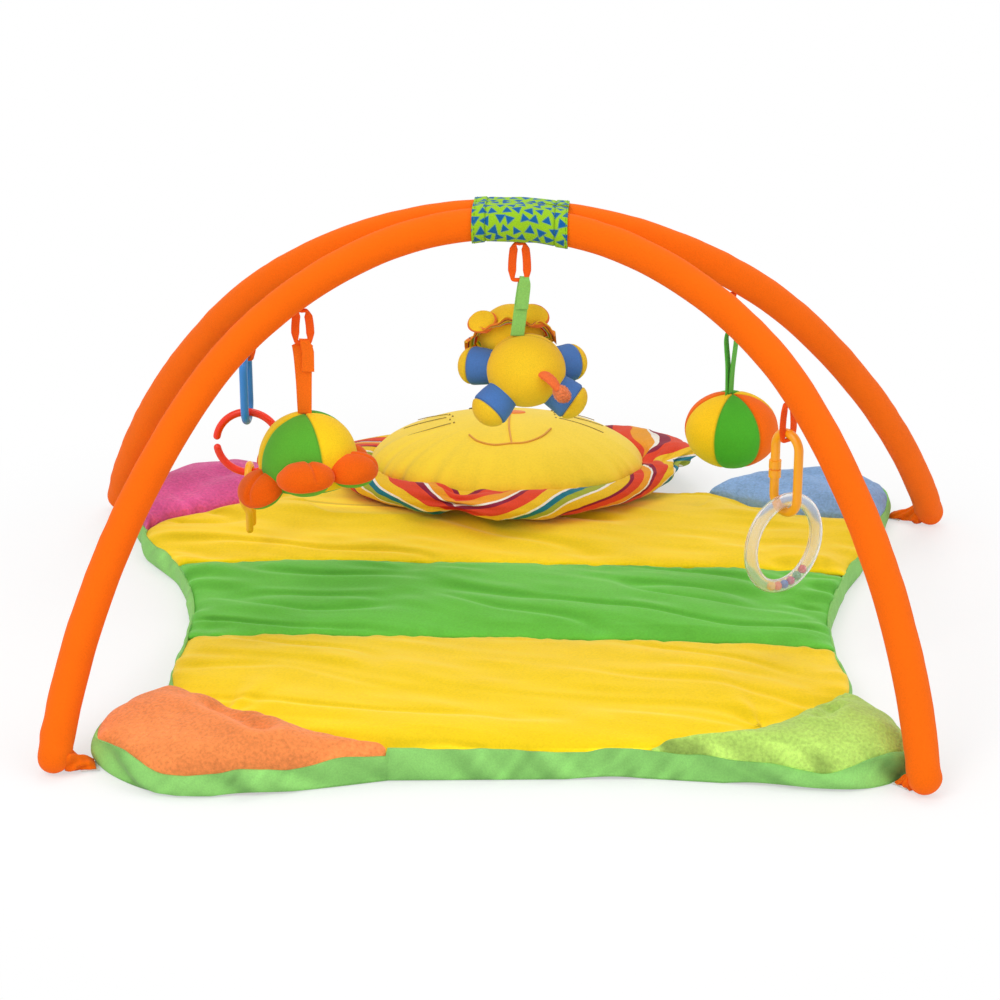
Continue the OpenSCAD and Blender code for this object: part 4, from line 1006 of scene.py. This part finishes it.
def corner_tab(arch, s, material):
    """White woven tab at the mat's corner, a flat loop pressed to the floor by the tie."""
    name, corner, foot = tie_ends(arch, s)
    way = unit(foot - corner)
    k = np.linspace(0, 1, 30)
    across = np.linspace(-1, 1, 21)
    d = 2.6 + 17.5 * k
    kk, bb = grid(k, across)
    half = 9.2 - 1.2 * kk
    xy = corner + way * d[:, None, None] + np.array((-way[1], way[0])) * (half * bb)[..., None]
    z = 1.1 + 0.5 * np.sin(kk * 3.0) + 0.22 * np.cos(bb * 28)
    return pad(name + "_corner_tab", xy, z + 0.7, np.maximum(z - 0.6, 0.1), material)


class PLAYGYM_OT_arches(bpy.types.Operator):
    """Padded sleeves, the printed wrap at the apex, the tied feet and the corner tabs"""

    bl_idname = "play_gym.arches"
    bl_label = "Arches"

    def execute(self, context):
        look = settings()
        # Brushed polyester jersey over foam: very matte, with a close fine knit.
        jersey = cloth("orange brushed jersey", None, pile=1.5, depth=0.22, shade=0.07, sheen=0.05, blotch=70)
        for arch, seed in (("front", 51), ("back", 57)):
            tube_piece, seam = sleeve_tube(arch, seed, jersey, look.sleeve_colour)
            finish_soft(tube_piece, arch + "_arch", [arch + "_sleeve", arch + "_foam"])
            stitches(arch + "_sleeve_seam", [seam], arch + "_arch", "#E0590A", 1.4, 0.5)
            for s in (-1, 1):
                tail, foot, way = foot_tail(arch, s, jersey, look.sleeve_colour)
                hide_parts(arch + "_tails")
                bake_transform(tail)
        # Screen-printed plain-woven cotton with a light finish.
        printed = cloth("printed plain weave", None, pile=1.4, depth=0.2, shade=0.08, sheen=0.1)
        for arch in ("front", "back"):
            wrap, hems = wrap_half(arch, printed)
            finish_soft(wrap, arch + "_arch", ["wrap_" + arch])
            stitches("apex_wrap_hem_" + arch, hems, arch + "_arch", "#5E9A1E", 1.0, 0.4)
        # Herringbone-woven polyester webbing, slightly glossy.
        webbing = cloth("white woven webbing", "#F4F3EF", pile=1.6, depth=0.4, shade=0.08, sheen=0.05, rough=0.7)
        for arch in ("front", "back"):
            for s in (-1, 1):
                tab = finish_soft(corner_tab(arch, s, webbing), "mat", ["corner_tabs"])
        return {"FINISHED"}


# Hanging toys

def bar_point(toy, local):
    """A place given from the bar of a toy's loop, along the loop's own axes."""
    return np.asarray(local, float) @ turned("z", TURNS[toy]) + np.array(PIVOTS[toy]) - (0, 0, LOOP_L[toy])


def smooth_line(points, count):
    return along(points, np.linspace(0, 1, count))


def rounded_box(count, across, over):
    """Points round a box with rounded corners, squarer for smaller powers across and over it."""
    a = circle(count)
    c, s = np.cos(a), np.sin(a)
    return np.stack([np.sign(c) * np.abs(c) ** across, np.sign(s) * np.abs(s) ** over], -1)


def tape_loop(toy, material):
    """A flat woven tape sewn in a loop below the sleeve, its bottom gathered round like a cord."""
    drop = LOOP_L[toy]
    half = [(0.0, 0, drop + 0.6), (-4.6, 0, drop + 0.2), (-6.6, 0, drop * 0.76), (-7.6, 0, drop * 0.42)]
    half += [(-7.4, 0, 4.0), (-6.4, 0, 0.4), (0, 0, 0.0)]
    path = smooth_line(half, 60)
    path = np.concatenate([path, path[-2:0:-1] * (-1, 1, 1)])
    n = len(path)
    t = unit(np.roll(path, -1, 0) - np.roll(path, 1, 0))
    t[0] = (-1, 0, 0)
    side = np.stack([t[:, 2], np.zeros(n), -t[:, 0]], -1)
    round_part = within(1 - (path[:, 2] - 1.0) / 9)[:, None]
    end = within((path[:, 2:] - drop + 5) / 5)
    thick = 4.3 - 2.3 * round_part - 2.6 * end
    deep = 1.0 + 1.0 * round_part + 2.2 * end
    sides = 24
    box = rounded_box(sides, 0.6, 0.6)
    ring = path[:, None] + (box[:, 0] * thick)[..., None] * side[:, None]
    ring = ring + (box[:, 1] * deep)[..., None] * np.array((0, 1.0, 0))
    return piece(toy + "_loop_tape", bar_point(toy, ring), grid_faces(n, sides, True, True), material)


STRAP_HALF_W = 7.2
STRAP_HALF_T = 0.72


def folded_strap(toy, length, material, lean, flare, skew):
    """A woven strap folded over the loop, with its sewn end lying down in front. lean is how far its top stands to
    the right of its foot, flare its half width below the loop, and skew how far the sewn end lies to the right."""
    back = [(0.0, -length - 3.0), (0.2, -length * 0.6), (0.3, -length * 0.3), (1.4, -9.0), (3.0, -3.2)]
    over = [(3.25 * math.cos(a), 3.25 * math.sin(a)) for a in np.radians((10, 50, 90, 130, 170))]
    front = [(-3.0, -3.6), (-2.3, -9.0), (-2.1, -20.0), (-2.5, -30.5)]
    if toy == "ball":
        back = [(0.8, -length - 3.0), (2.0, -length * 0.62), (4.4, -length * 0.34), (5.2, -14.0), (3.2, -3.4)]
        front = [(-3.2, -3.6), (-5.0, -14.0), (-3.6, -length * 0.4), (-1.6, -length * 0.7), (-0.8, -length - 2.0)]
    path = smooth_line(back + over + front, 150)
    share = np.linspace(0, 1, len(path))
    aside = lean * (0.7 + path[:, 1] / length) - np.interp(share, (0, 0.29, 0.4), (0, flare - STRAP_HALF_W, 0)) * 0.5
    aside = aside + skew * within((share - 0.55) / 0.3)
    path = np.column_stack([aside, path])
    t = unit(np.gradient(path, axis=0))
    out = np.cross((1.0, 0, 0), t)
    wide = np.interp(share, (0, 0.29, 0.36, 0.66, 0.76, 1), (STRAP_HALF_W, flare, 5.2, 5.0, 6.2, 6.4))
    box = rounded_box(28, 0.4, 0.7)
    flat = np.stack(np.broadcast_arrays(wide[:, None] * box[:, 0], STRAP_HALF_T * box[:, 1]), -1)
    flat[..., 1] += 0.5 * np.cos(box[:, 0] * 1.4)[None] - 0.35
    points, faces = sweep(path, (1.0, 0, 0), out, flat)
    return piece(toy + "_folded_strap", bar_point(toy, points), faces, material)


def gored(centre, axes, radii, colours, turn, seed, wide=28, groove=1.5):
    """A stuffed ball sewn from gores that run from pole to pole, as points, faces and tint."""
    rows, count = 80, len(colours)
    th, ph = grid(np.linspace(0, np.pi, rows), (np.arange(count * wide) + 0.5) / wide * 2 * np.pi / count)
    share = ph / (2 * np.pi / count) % 1
    pole = np.sin(th)
    off = np.minimum(share, 1 - share) * 2 * np.pi / count * pole * radii[0]
    r = 1 + (0.9 * np.sin(np.pi * share) ** 0.7 * pole - groove * bell(off, 1.6)) / radii[0]
    r += 0.5 / radii[0] * rumple(th * 34, 10 * np.cos(ph) * pole + 40, 12, seed) * pole
    ray = np.dstack([polar(pole, ph + turn), np.cos(th)])
    points = np.asarray(centre) + (ray * r[..., None] * np.asarray(radii)) @ np.asarray(axes)
    tint = np.array([rgb(c) for c in colours])[(ph // (2 * np.pi / count)).astype(int) % count]
    # Painted shade in the grooves of the seams between the gores.
    tint = tint * (1 - 0.42 * bell(off, 0.8))[..., None]
    return points.reshape(-1, 3), grid_faces(rows, count * wide, wrap_cols=True), tint.reshape(-1, 3)


def stuffed(centre, axes, radii, paint, bend, rows, cols, seed, lump=0.5):
    """A stuffed pebble; bend reshapes its unit rays, and paint gives the colour of each ray."""
    th, ph = grid(np.linspace(0, np.pi, rows), circle(cols))
    ray = np.dstack([polar(np.sin(th), ph), np.cos(th)])
    size = 1 + lump / min(radii) * rumple(th * 12, 6 * np.cos(ph) * np.sin(th) + 30, 4, seed) * np.sin(th)
    shape = (bend(ray) if bend else ray) * size[..., None]
    points = np.asarray(centre) + (shape * np.asarray(radii)) @ np.asarray(axes)
    return points.reshape(-1, 3), grid_faces(rows, cols, wrap_cols=True), paint(ray).reshape(-1, 3)


def plain(colour):
    return lambda ray: np.broadcast_to(rgb(colour), ray.shape)


def turned(axis, degrees):
    """Rows are the axes of a frame turned about x, y or z."""
    c, s = math.cos(math.radians(degrees)), math.sin(math.radians(degrees))
    rows = {
        "x": ((1, 0, 0), (0, c, s), (0, -s, c)),
        "y": ((c, 0, -s), (0, 1, 0), (s, 0, c)),
        "z": ((c, s, 0), (-s, c, 0), (0, 0, 1)),
    }
    return np.array(rows[axis])


def toy_velour():
    # Velour: short dense pile, softly shining at grazing angles.
    return cloth("toy velour", None, pile=1.3, depth=0.35, shade=0.10, sheen=0.12)


TURTLE_AXES = turned("y", -2)
SHELL_R = 51
BELLY_R = 46.5
# Of each flipper: its place round the shell, how far it hangs below its root, and how steeply it droops
FLIPPERS = {"near": (5, -19, 2), "right": (64, -17, 4), "left": (-58, 0, 26), "far": (-144, -8, 10)}


def on_turtle(local):
    top = bar_point("turtle", (0, 0, -76.0))
    return (np.asarray(local, float) - (0, 0, SHELL_R)) @ TURTLE_AXES + top


def flipper(turn, drop, droop):
    """A padded flipper, orange above and lime below, narrow where it is sewn to the shell."""
    axes = turned("x", droop) @ turned("z", turn) @ TURTLE_AXES
    centre = on_turtle(np.array((0, -53, -20 - drop)) @ turned("z", turn))
    orange, lime = rgb("#F06400"), rgb("#6DBE3B")

    def bend(ray):
        neck = 1 - 0.22 * within(ray[..., 1])
        edge = -0.10 * bell(ray[..., 2] + 0.5, 0.09)
        tuck = np.abs(ray[..., 0] - 0.18 + 0.35 * ray[..., 1])
        edge = edge - 0.13 * bell(tuck, 0.10) * within(ray[..., 2] * 3)
        return ray * np.stack([neck, np.ones_like(neck), 1 - 0.12 * ray[..., 1]], -1) * (1 + edge)[..., None]

    def paint(ray):
        return mixed(orange, lime, within((-0.5 - ray[..., 2]) / 0.05 + 0.5))

    return stuffed(centre, axes, (29.5, 27, 17.0), paint, bend, 64, 80, int(turn) % 17 + 5)


class PLAYGYM_OT_turtle(bpy.types.Operator):
    """Stuffed turtle with a gored shell, four flippers and a head, on its strap and loop"""

    bl_idname = "play_gym.turtle"
    bl_label = "Turtle"

    def execute(self, context):
        velour = toy_velour()
        yellow, green = "#FFD61C", "#5CB332"
        middle, gores = on_turtle((0, 0, 0)), [green, yellow] * 2
        shell = gored(middle, TURTLE_AXES, (SHELL_R,) * 3, gores, math.radians(-154), wide=40, seed=61)
        local = (shell[0] - middle) @ TURTLE_AXES.T
        belly = local[:, 2] <= -21.5
        local[belly, :2] *= (BELLY_R / np.maximum(np.linalg.norm(local[belly, :2], axis=-1), BELLY_R))[:, None]
        out = np.linalg.norm(local[belly, :2], axis=-1) / (BELLY_R + 0.1)
        local[belly, 2] = -20 - 8.5 * np.sqrt(within(1 - out**2))
        tint = np.where(belly[:, None], rgb("#5DB53A"), shell[2])
        made = piece("turtle_shell_and_belly", on_turtle(local), shell[1], velour, tint)
        finish_soft(made, "turtle_toy", ["turtle_shell", "turtle_belly"])
        for name, pose in FLIPPERS.items():
            leg = ["turtle_leg_" + name]
            sew("turtle_flipper_" + name, flipper(*pose), velour, "turtle_toy", leg)
        axes = turned("z", 144) @ TURTLE_AXES
        centre = on_turtle(np.array((0, -59, -22)) @ turned("z", 144))
        orange, dark = rgb("#F06400"), rgb("#2A2320")

        def face(ray):
            from_eyes = [np.linalg.norm(ray - unit((s * 0.42, -0.78, 0.46)), axis=-1) for s in (-1, 1)]
            return mixed(orange, dark, np.maximum(*[within(1.6 - away / 0.085) for away in from_eyes]))

        head = stuffed(centre, axes, (22, 25, 21), face, None, 72, 96, 71)
        sew("turtle_round_head", head, velour, "turtle_toy", ["turtle_head"])
        return {"FINISHED"}


class PLAYGYM_OT_ball(bpy.types.Operator):
    """Stuffed ball of six gores"""

    bl_idname = "play_gym.ball"
    bl_label = "Ball"

    def execute(self, context):
        velour = toy_velour()
        yellow, green, orange = "#FFD21C", "#4DB42C", "#FF7000"
        centre, gores = bar_point("ball", (0, 0, -116.5)) + (4, 0, 0), [green, orange, yellow] * 2
        ball = gored(centre, np.eye(3), (50, 50, 41), gores, math.radians(-114), seed=64)
        sew("gored_ball", ball, velour, "ball_toy", ["ball"])
        return {"FINISHED"}


LION_FACE = unit((-0.1, 0.56, 0.82))
LION_UP = unit((0, -0.82, 0.56))
LION_AXES = np.stack([np.cross(LION_UP, LION_FACE), LION_UP, LION_FACE])
LION_HEAD = np.array((-17.0, 46.0, 23.0))
LION_LEGS = {
    "front_left": (-0.93, 0.30, -0.05),
    "front_right": (0.8, 0.59, -0.05),
    "rear_left": (-0.61, -0.5, -0.61),
    "rear_right": (0.83, -0.15, -0.54),
}


def on_lion(local):
    return bar_point("lion", np.asarray(local, float) + (6, 0, -96.0))


def frame_along(way, up=(0.0, 0.0, 1.0)):
    """Rows are the axes of a frame whose third axis is the given way."""
    way = unit(way)
    side = unit(np.cross(up, way))
    return np.stack([side, np.cross(way, side), way])


def lion_leg(way, seed):
    """A stuffed leg with a flat sole of yellow cloth at its end."""
    rows = sides = 60
    t = np.linspace(0, 1, rows)
    a = circle(sides)
    shank = 15.5 + 4.6 * np.sqrt(t / 0.62)
    foot = 20.1 * np.sqrt(1 - (np.clip(t - 0.62, 0, 0.38) / 0.38) ** 2.2)
    swell = np.where(t < 0.62, shank, foot)
    root, seam = 26.0, 0.70
    reach = root + 48 * t
    swell = swell - 1.5 * bell(t - seam, 0.022)
    tt, aa = grid(t, a)
    r = swell[:, None] * (1 + 0.03 * rumple(tt * 40, 8 * np.cos(aa) + 20, 9, seed))
    axes = frame_along(way)
    local = np.dstack([polar(r, aa), np.broadcast_to(reach[:, None], r.shape)])
    blue, sole = rgb("#4C7BC0"), rgb("#F4CB2B")
    # The tint is darker at the seam's groove, as painted shade.
    tint = np.where((tt > seam)[..., None], sole, blue) * (1 - 0.4 * bell(tt - seam, 0.014))[..., None]
    points = np.concatenate([on_lion(local @ axes).reshape(-1, 3), on_lion(((0, 0, root),) @ axes)])
    faces = grid_faces(rows, sides, wrap_cols=True).tolist()
    faces += [[rows * sides, (j + 1) % sides, j] for j in range(sides)]
    return points, faces, np.concatenate([tint.reshape(-1, 3), [blue]])


def lion_frill():
    """A pleated frill of striped cloth between the back and the front of the head."""
    a = circle(300)
    b = np.linspace(0, 1, 22)
    aa, bb = grid(a, b)
    pleat = np.sin(9 * aa + 1.2 * np.sin(2 * aa)) + 0.4 * np.sin(17 * aa + 1)
    reach = 31.5 + bb * (17.0 + 1.6 * np.cos(5 * aa))
    lift = 3.6 * pleat * bb**0.9 + 0.6 * rumple(aa * 20, bb * 10, 5, 77) - 9 * bb**2 * np.abs(np.cos(aa)) ** 3
    rings = []
    for thick in (0.75, -0.75):
        local = np.dstack([polar(reach, aa), lift + thick])
        rings.append(local if thick > 0 else local[:, ::-1])
    local = np.concatenate(rings, 1)
    q = np.concatenate([bb, bb[:, ::-1]], 1) * 1.02 + 0.052 * np.concatenate([pleat, pleat[:, ::-1]], 1)
    points = on_lion(LION_HEAD + local @ LION_AXES).reshape(-1, 3)
    return points, grid_faces(*q.shape, True, True), np.repeat(q.reshape(-1, 1), 3, 1)


FRILL_STRIPES = [
    (0.24, "#F7C92C"), (0.16, "#E4472A"), (0.06, "#F6F1E4"), (0.12, "#8DA83A"),
    (0.14, "#F7C92C"), (0.08, "#7E2440"), (0.20, "#F08A2C"),
]


class PLAYGYM_OT_lion(bpy.types.Operator):
    """Stuffed lion that looks up and away, with a frilled mane, four legs and a tail"""

    bl_idname = "play_gym.lion"
    bl_label = "Lion"

    def execute(self, context):
        velour = toy_velour()
        yellow = "#F8CC26"
        body = gored(on_lion((1.0, 0, -1.0)), np.eye(3), (41, 42, 38), [yellow] * 2, 0.0, wide=60, groove=0.9, seed=81)
        sew("lion_round_body", body, velour, "lion_toy", ["lion_body"])
        cloth_colour, dark, warm = (rgb(c) for c in (yellow, "#33251E", "#E9702E"))

        def face(ray):
            def spot(x, y, size):
                at = unit((x, y, math.sqrt(1 - x * x - y * y)))
                return within(0.5 + (size - np.linalg.norm(ray - at, axis=-1)) / 0.03)

            marks = np.maximum(spot(-0.30, 0.22, 0.085), spot(0.30, 0.22, 0.085))
            smile = np.hypot(ray[..., 0], ray[..., 1] + 0.05)
            line = within(1.5 - np.abs(smile - 0.36) / 0.022) * (ray[..., 1] < -0.22) * (ray[..., 2] > 0)
            return mixed(mixed(cloth_colour, dark, np.maximum(marks, line)), warm, spot(0, -0.04, 0.12))

        head = stuffed(on_lion(LION_HEAD), LION_AXES, (34, 34, 32.5), face, None, 120, 180, 83)
        sew("lion_round_head", head, velour, "lion_toy", ["lion_head"])
        # Printed stripe cloth: smooth plain weave, crisp stripes.
        printed = cloth("printed stripe weave", None, pile=1.2, depth=0.2, shade=0.07, sheen=0.08, bands=FRILL_STRIPES)
        frill = sew("lion_mane_frill", lion_frill(), printed, "lion_toy", ["lion_mane"])
        edge = rgb("#EE7B35")

        def ear_paint(ray):
            return mixed(cloth_colour, edge, within((np.hypot(ray[..., 0], ray[..., 1]) - 0.86) / 0.05))

        for s, name in ((-1, "left"), (1, "right")):
            centre = LION_HEAD + (s * 27 - 2, -19 + 3 * s, 23 + 3 * s)
            lying = frame_along((0.25 * s, -0.62, 0.75), (0, 0.7, 0.7))
            ear = stuffed(on_lion(centre), lying, (16, 14, 5), ear_paint, None, 48, 60, 85 + s)
            sew("lion_round_ear_" + name, ear, velour, "lion_toy", ["lion_ear_" + name])
        for k, (name, way) in enumerate(LION_LEGS.items()):
            node = ["lion_leg_" + name]
            sew("lion_stuffed_leg_" + name, lion_leg(way, 90 + k), velour, "lion_toy", node)
        root, bend = 38 * unit((0.47, -0.86, 0.16)), unit((23, -15, -18))
        k = np.linspace(0, 1, 40)[:, None]
        path = root + bend * 27 * k + np.array((0.2, -0.6, 0.5)) * 7 * np.sin(k * np.pi)
        points, faces = tube(on_lion(path), 6.4 + 0.8 * k[:, 0] + 0.25 * np.sin(k[:, 0] * 38), 28, 0.6)
        tail = points, faces, np.broadcast_to(rgb("#F4743A"), (len(points), 3))
        sew("lion_stuffed_tail", tail, velour, "lion_toy", ["lion_tail"])
        # Long fleece: a shaggy tuft that catches the light in clumps.
        fleece = cloth("shaggy fleece", None, pile=2.6, depth=0.9, shade=0.22, sheen=0.5)
        rng = np.random.default_rng(5)
        middle = on_lion(root + 31 * bend)
        tuft = stuffed(middle, frame_along(bend), (8, 8, 10), plain("#FA8A52"), None, 60, 80, 99, 0.3)
        clump = 0.16 * rng.uniform(-1, 1, (60, 80)) ** 3
        clump[[0, -1]] = 0
        shaggy = middle + (tuft[0] - middle) * (1 + clump.reshape(-1, 1))
        tuft = shaggy, *tuft[1:]
        sew("lion_fleece_tuft", tuft, fleece, "lion_toy", ["lion_tail_tuft"])
        return {"FINISHED"}


# The beads touch in a row at the bottom of the ring, with their middles on a circle round the ring's own middle.
BEAD_R = 4.55
BEAD_HALF_PITCH = 4.7
BEAD_RUN_R = 46
RING_DROP = 110.6
BEADS = ("#F5C518", "#F07A1F", "#2C66B8", "#C22B57", "#3C9B46", "#D93A2B")


class PLAYGYM_OT_links(bpy.types.Operator):
    """Moulded links, the clear rattle ring and its coloured beads"""

    bl_idname = "play_gym.links"
    bl_label = "Links and rattle"

    def execute(self, context):
        # Gloss polypropylene: even colour with soft wide highlights, and light that comes through a little.
        for node, name, colour in (
            ("chain_blue_link", "blue polypropylene", "#2F86D6"),
            ("chain_red_ring", "red polypropylene", "#F83200"),
            ("chain_yellow_link", "yellow polypropylene", "#FFB714"),
            ("rattle_link", "amber polypropylene", "#FFB01A"),
        ):
            dress(node, moulded(name, colour, 0.3))
        # Clear polystyrene: thin walls that bend the light a little, and bright edges.
        clear = moulded("clear polystyrene", "#FDFDFE", 0.10, 0.88, 1.24)
        for node in ("rattle_ring_front", "rattle_ring_back"):
            dress(node, clear)
        # White polyethylene pipe, unseen in the sleeves.
        for arch in ("front", "back"):
            for node in ("_poles", "_pole_joiner"):
                dress(arch + node, moulded("white polyethylene", "#ECEDEA", 0.45))
        pitch = 2 * math.degrees(math.asin(BEAD_HALF_PITCH / BEAD_RUN_R))
        parts = []

        def waist(ray):
            return ray * (1 - 0.06 * bell(ray[..., 2:], 0.08))

        for i, colour in enumerate(BEADS):
            a = math.radians(-81 + (i - 2.5) * pitch)
            centre = bar_point("rattle", (BEAD_RUN_R * math.cos(a), 0, -RING_DROP + BEAD_RUN_R * math.sin(a)))
            parts.append(stuffed(centre, np.eye(3), (BEAD_R,) * 3, plain(colour), waist, 24, 32, i, 0.0))
        points, faces, tint = joined(parts)
        beads = piece("rattle_coloured_beads", points, faces, moulded("bead polystyrene", None, 0.2), tint)
        finish_soft(beads, "beads", ["rattle_beads"])
        return {"FINISHED"}


def dress(node, material):
    """Gives a shown solid its procedural material."""
    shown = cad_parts[node]
    shown.data.materials.clear()
    shown.data.materials.append(material)


class PLAYGYM_OT_hangers(bpy.types.Operator):
    """Tape loops below the arches and the straps folded over them"""

    bl_idname = "play_gym.hangers"
    bl_label = "Hangers"

    def execute(self, context):
        # Woven polyester tape: fine ribs across, a slight shine.
        tape = cloth("orange woven tape", "#FA5E0C", pile=1.0, depth=0.5, shade=0.14, sheen=0.1, rough=0.75)
        for toy in PIVOTS:
            made = tape_loop(toy, tape)
            finish_soft(made, toy + "_hanger", [toy + "_loop"])
        # Soft knitted straps, for the three stuffed toys.
        for toy, length, name, colour, slot, lean, flare, skew in (
            ("turtle", 74, "orange knit strap", "#FF7610", "orange_strap", 1.0, 11.0, 4.5),
            ("ball", 74, "green knit strap", "#5CBE40", "green_strap", 1.0, 5.0, 3.0),
            ("lion", 57, "light green knit strap", "#90D068", "green_strap", 6.5, 6.6, 1.5),
        ):
            knit = cloth(name, colour, pile=1.4, depth=0.45, shade=0.12, sheen=0.2)
            made = folded_strap(toy, length, knit, lean, flare, skew)
            finish_soft(made, toy + "_toy", [toy + "_strap"])
        return {"FINISHED"}


# Stage

def camera_sees(tree):
    """1 for rays that show a surface to the camera, straight or by gloss or glass, and 0 for those that light."""
    paths = add(tree, "ShaderNodeLightPath")
    seen = paths.outputs["Is Camera Ray"]
    for kind in ("Is Glossy Ray", "Is Transmission Ray"):
        seen = maths(tree, "MAXIMUM", seen, paths.outputs[kind])
    return seen


class PLAYGYM_OT_stage(bpy.types.Operator):
    """Pale floor, soft studio light and the camera of the photograph"""

    bl_idname = "play_gym.stage"
    bl_label = "Stage"

    def execute(self, context):
        scene = context.scene
        mesh = bpy.data.meshes.new("stage_floor")
        mesh.from_pydata([(-9, -9, -0.001), (9, -9, -0.001), (9, 9, -0.001), (-9, 9, -0.001)], [], [(0, 1, 2, 3)])
        floor = bpy.data.objects.new("stage_floor", mesh)
        scene.collection.objects.link(floor)
        # Seamless white paper: takes a soft shadow and nothing else.
        paper, tree, shader = blank_material("white studio paper")
        set_fields(shader, {"Base Color": linear("#FAFAFA"), "Roughness": 0.9, "Specular IOR Level": 0.1})
        # Away from the object the paper runs out to plain white for the camera, and its light stays the same.
        place = add(tree, "ShaderNodeTexCoord").outputs["Object"]
        away = add(tree, "ShaderNodeVectorMath", {"operation": "LENGTH"}, {0: place})
        fade = {"interpolation_type": "SMOOTHSTEP", 1: 0.45, 2: 0.85, 3: 0.5, 4: 1.0}
        edge = add(tree, "ShaderNodeMapRange", fade, {0: away.outputs["Value"]})
        share = maths(tree, "MULTIPLY", edge.outputs[0], camera_sees(tree))
        white = add(tree, "ShaderNodeEmission", {"Strength": 1.0, "Color": (1, 1, 1, 1)})
        laid = add(tree, "ShaderNodeMixShader", {}, {0: share, 1: shader.outputs[0], 2: white.outputs[0]})
        tree.links.new(laid.outputs[0], tree.nodes["Material Output"].inputs["Surface"])
        mesh.materials.append(paper)

        world = bpy.data.worlds.new("studio_world")
        scene.world = world
        world.use_nodes = True
        tree = world.node_tree
        tree.nodes.clear()
        lit = add(tree, "ShaderNodeBackground", {"Strength": 0.55, "Color": (1, 1, 1, 1)})
        shown = add(tree, "ShaderNodeBackground", {"Strength": 1.0, "Color": (1, 1, 1, 1)})
        sky = add(tree, "ShaderNodeMixShader", {}, {0: camera_sees(tree), 1: lit.outputs[0], 2: shown.outputs[0]})
        add(tree, "ShaderNodeOutputWorld", {}, {"Surface": sky.outputs[0]})

        for name, place, aim, size, power in (
            ("key_lamp", (-1.3, -1.9, 2.6), (0, 0, 0.15), 1.8, 38.0),
            ("fill_lamp", (2.2, -1.4, 1.8), (0, 0, 0.15), 2.2, 16.0),
            ("top_lamp", (0.2, 0.9, 3.0), (0, 0, 0.1), 2.2, 24.0),
        ):
            lamp = bpy.data.lights.new(name, "AREA")
            lamp.energy, lamp.size = power, size
            obj = bpy.data.objects.new(name, lamp)
            obj.location = place
            obj.rotation_euler = (Vector(aim) - Vector(place)).to_track_quat("-Z", "Y").to_euler()
            scene.collection.objects.link(obj)

        lens = bpy.data.cameras.new("photo_camera")
        lens.lens, lens.sensor_width = 91.76, 36.0
        lens.shift_x, lens.shift_y = -0.008, -0.054
        camera = bpy.data.objects.new("photo_camera", lens)
        camera.location = (0.138, -2.541, 1.101)
        camera.rotation_euler = (math.radians(70.5), 0, math.radians(3.10))
        scene.collection.objects.link(camera)
        scene.camera = camera
        scene.view_settings.view_transform = "Standard"
        return {"FINISHED"}


PIECES = (
    PLAYGYM_OT_mat,
    PLAYGYM_OT_head,
    PLAYGYM_OT_arches,
    PLAYGYM_OT_hangers,
    PLAYGYM_OT_turtle,
    PLAYGYM_OT_ball,
    PLAYGYM_OT_lion,
    PLAYGYM_OT_links,
)


class PLAYGYM_PT_sidebar(bpy.types.Panel):
    """Settings of the play gym and a button for each group of pieces"""

    bl_label = "Play Gym"
    bl_idname = "PLAYGYM_PT_sidebar"
    bl_space_type = "VIEW_3D"
    bl_region_type = "UI"
    bl_category = "Play Gym"

    def draw(self, context):
        for name in PlayGymSettings.__annotations__:
            self.layout.prop(context.scene.play_gym, name)
        for operator in (*PIECES, PLAYGYM_OT_stage):
            self.layout.operator(operator.bl_idname)


CLASSES = (PlayGymSettings, *PIECES, PLAYGYM_OT_stage, PLAYGYM_PT_sidebar)


def register():
    for cls in CLASSES:
        bpy.utils.register_class(cls)
    bpy.types.Scene.play_gym = bpy.props.PointerProperty(type=PlayGymSettings)


def unregister():
    del bpy.types.Scene.play_gym
    for cls in reversed(CLASSES):
        bpy.utils.unregister_class(cls)


def main():
    register()
    for operator in (*PIECES, PLAYGYM_OT_stage):
        group, name = operator.bl_idname.split(".")
        getattr(getattr(bpy.ops, group), name)()


if __name__ == "__main__":
    main()
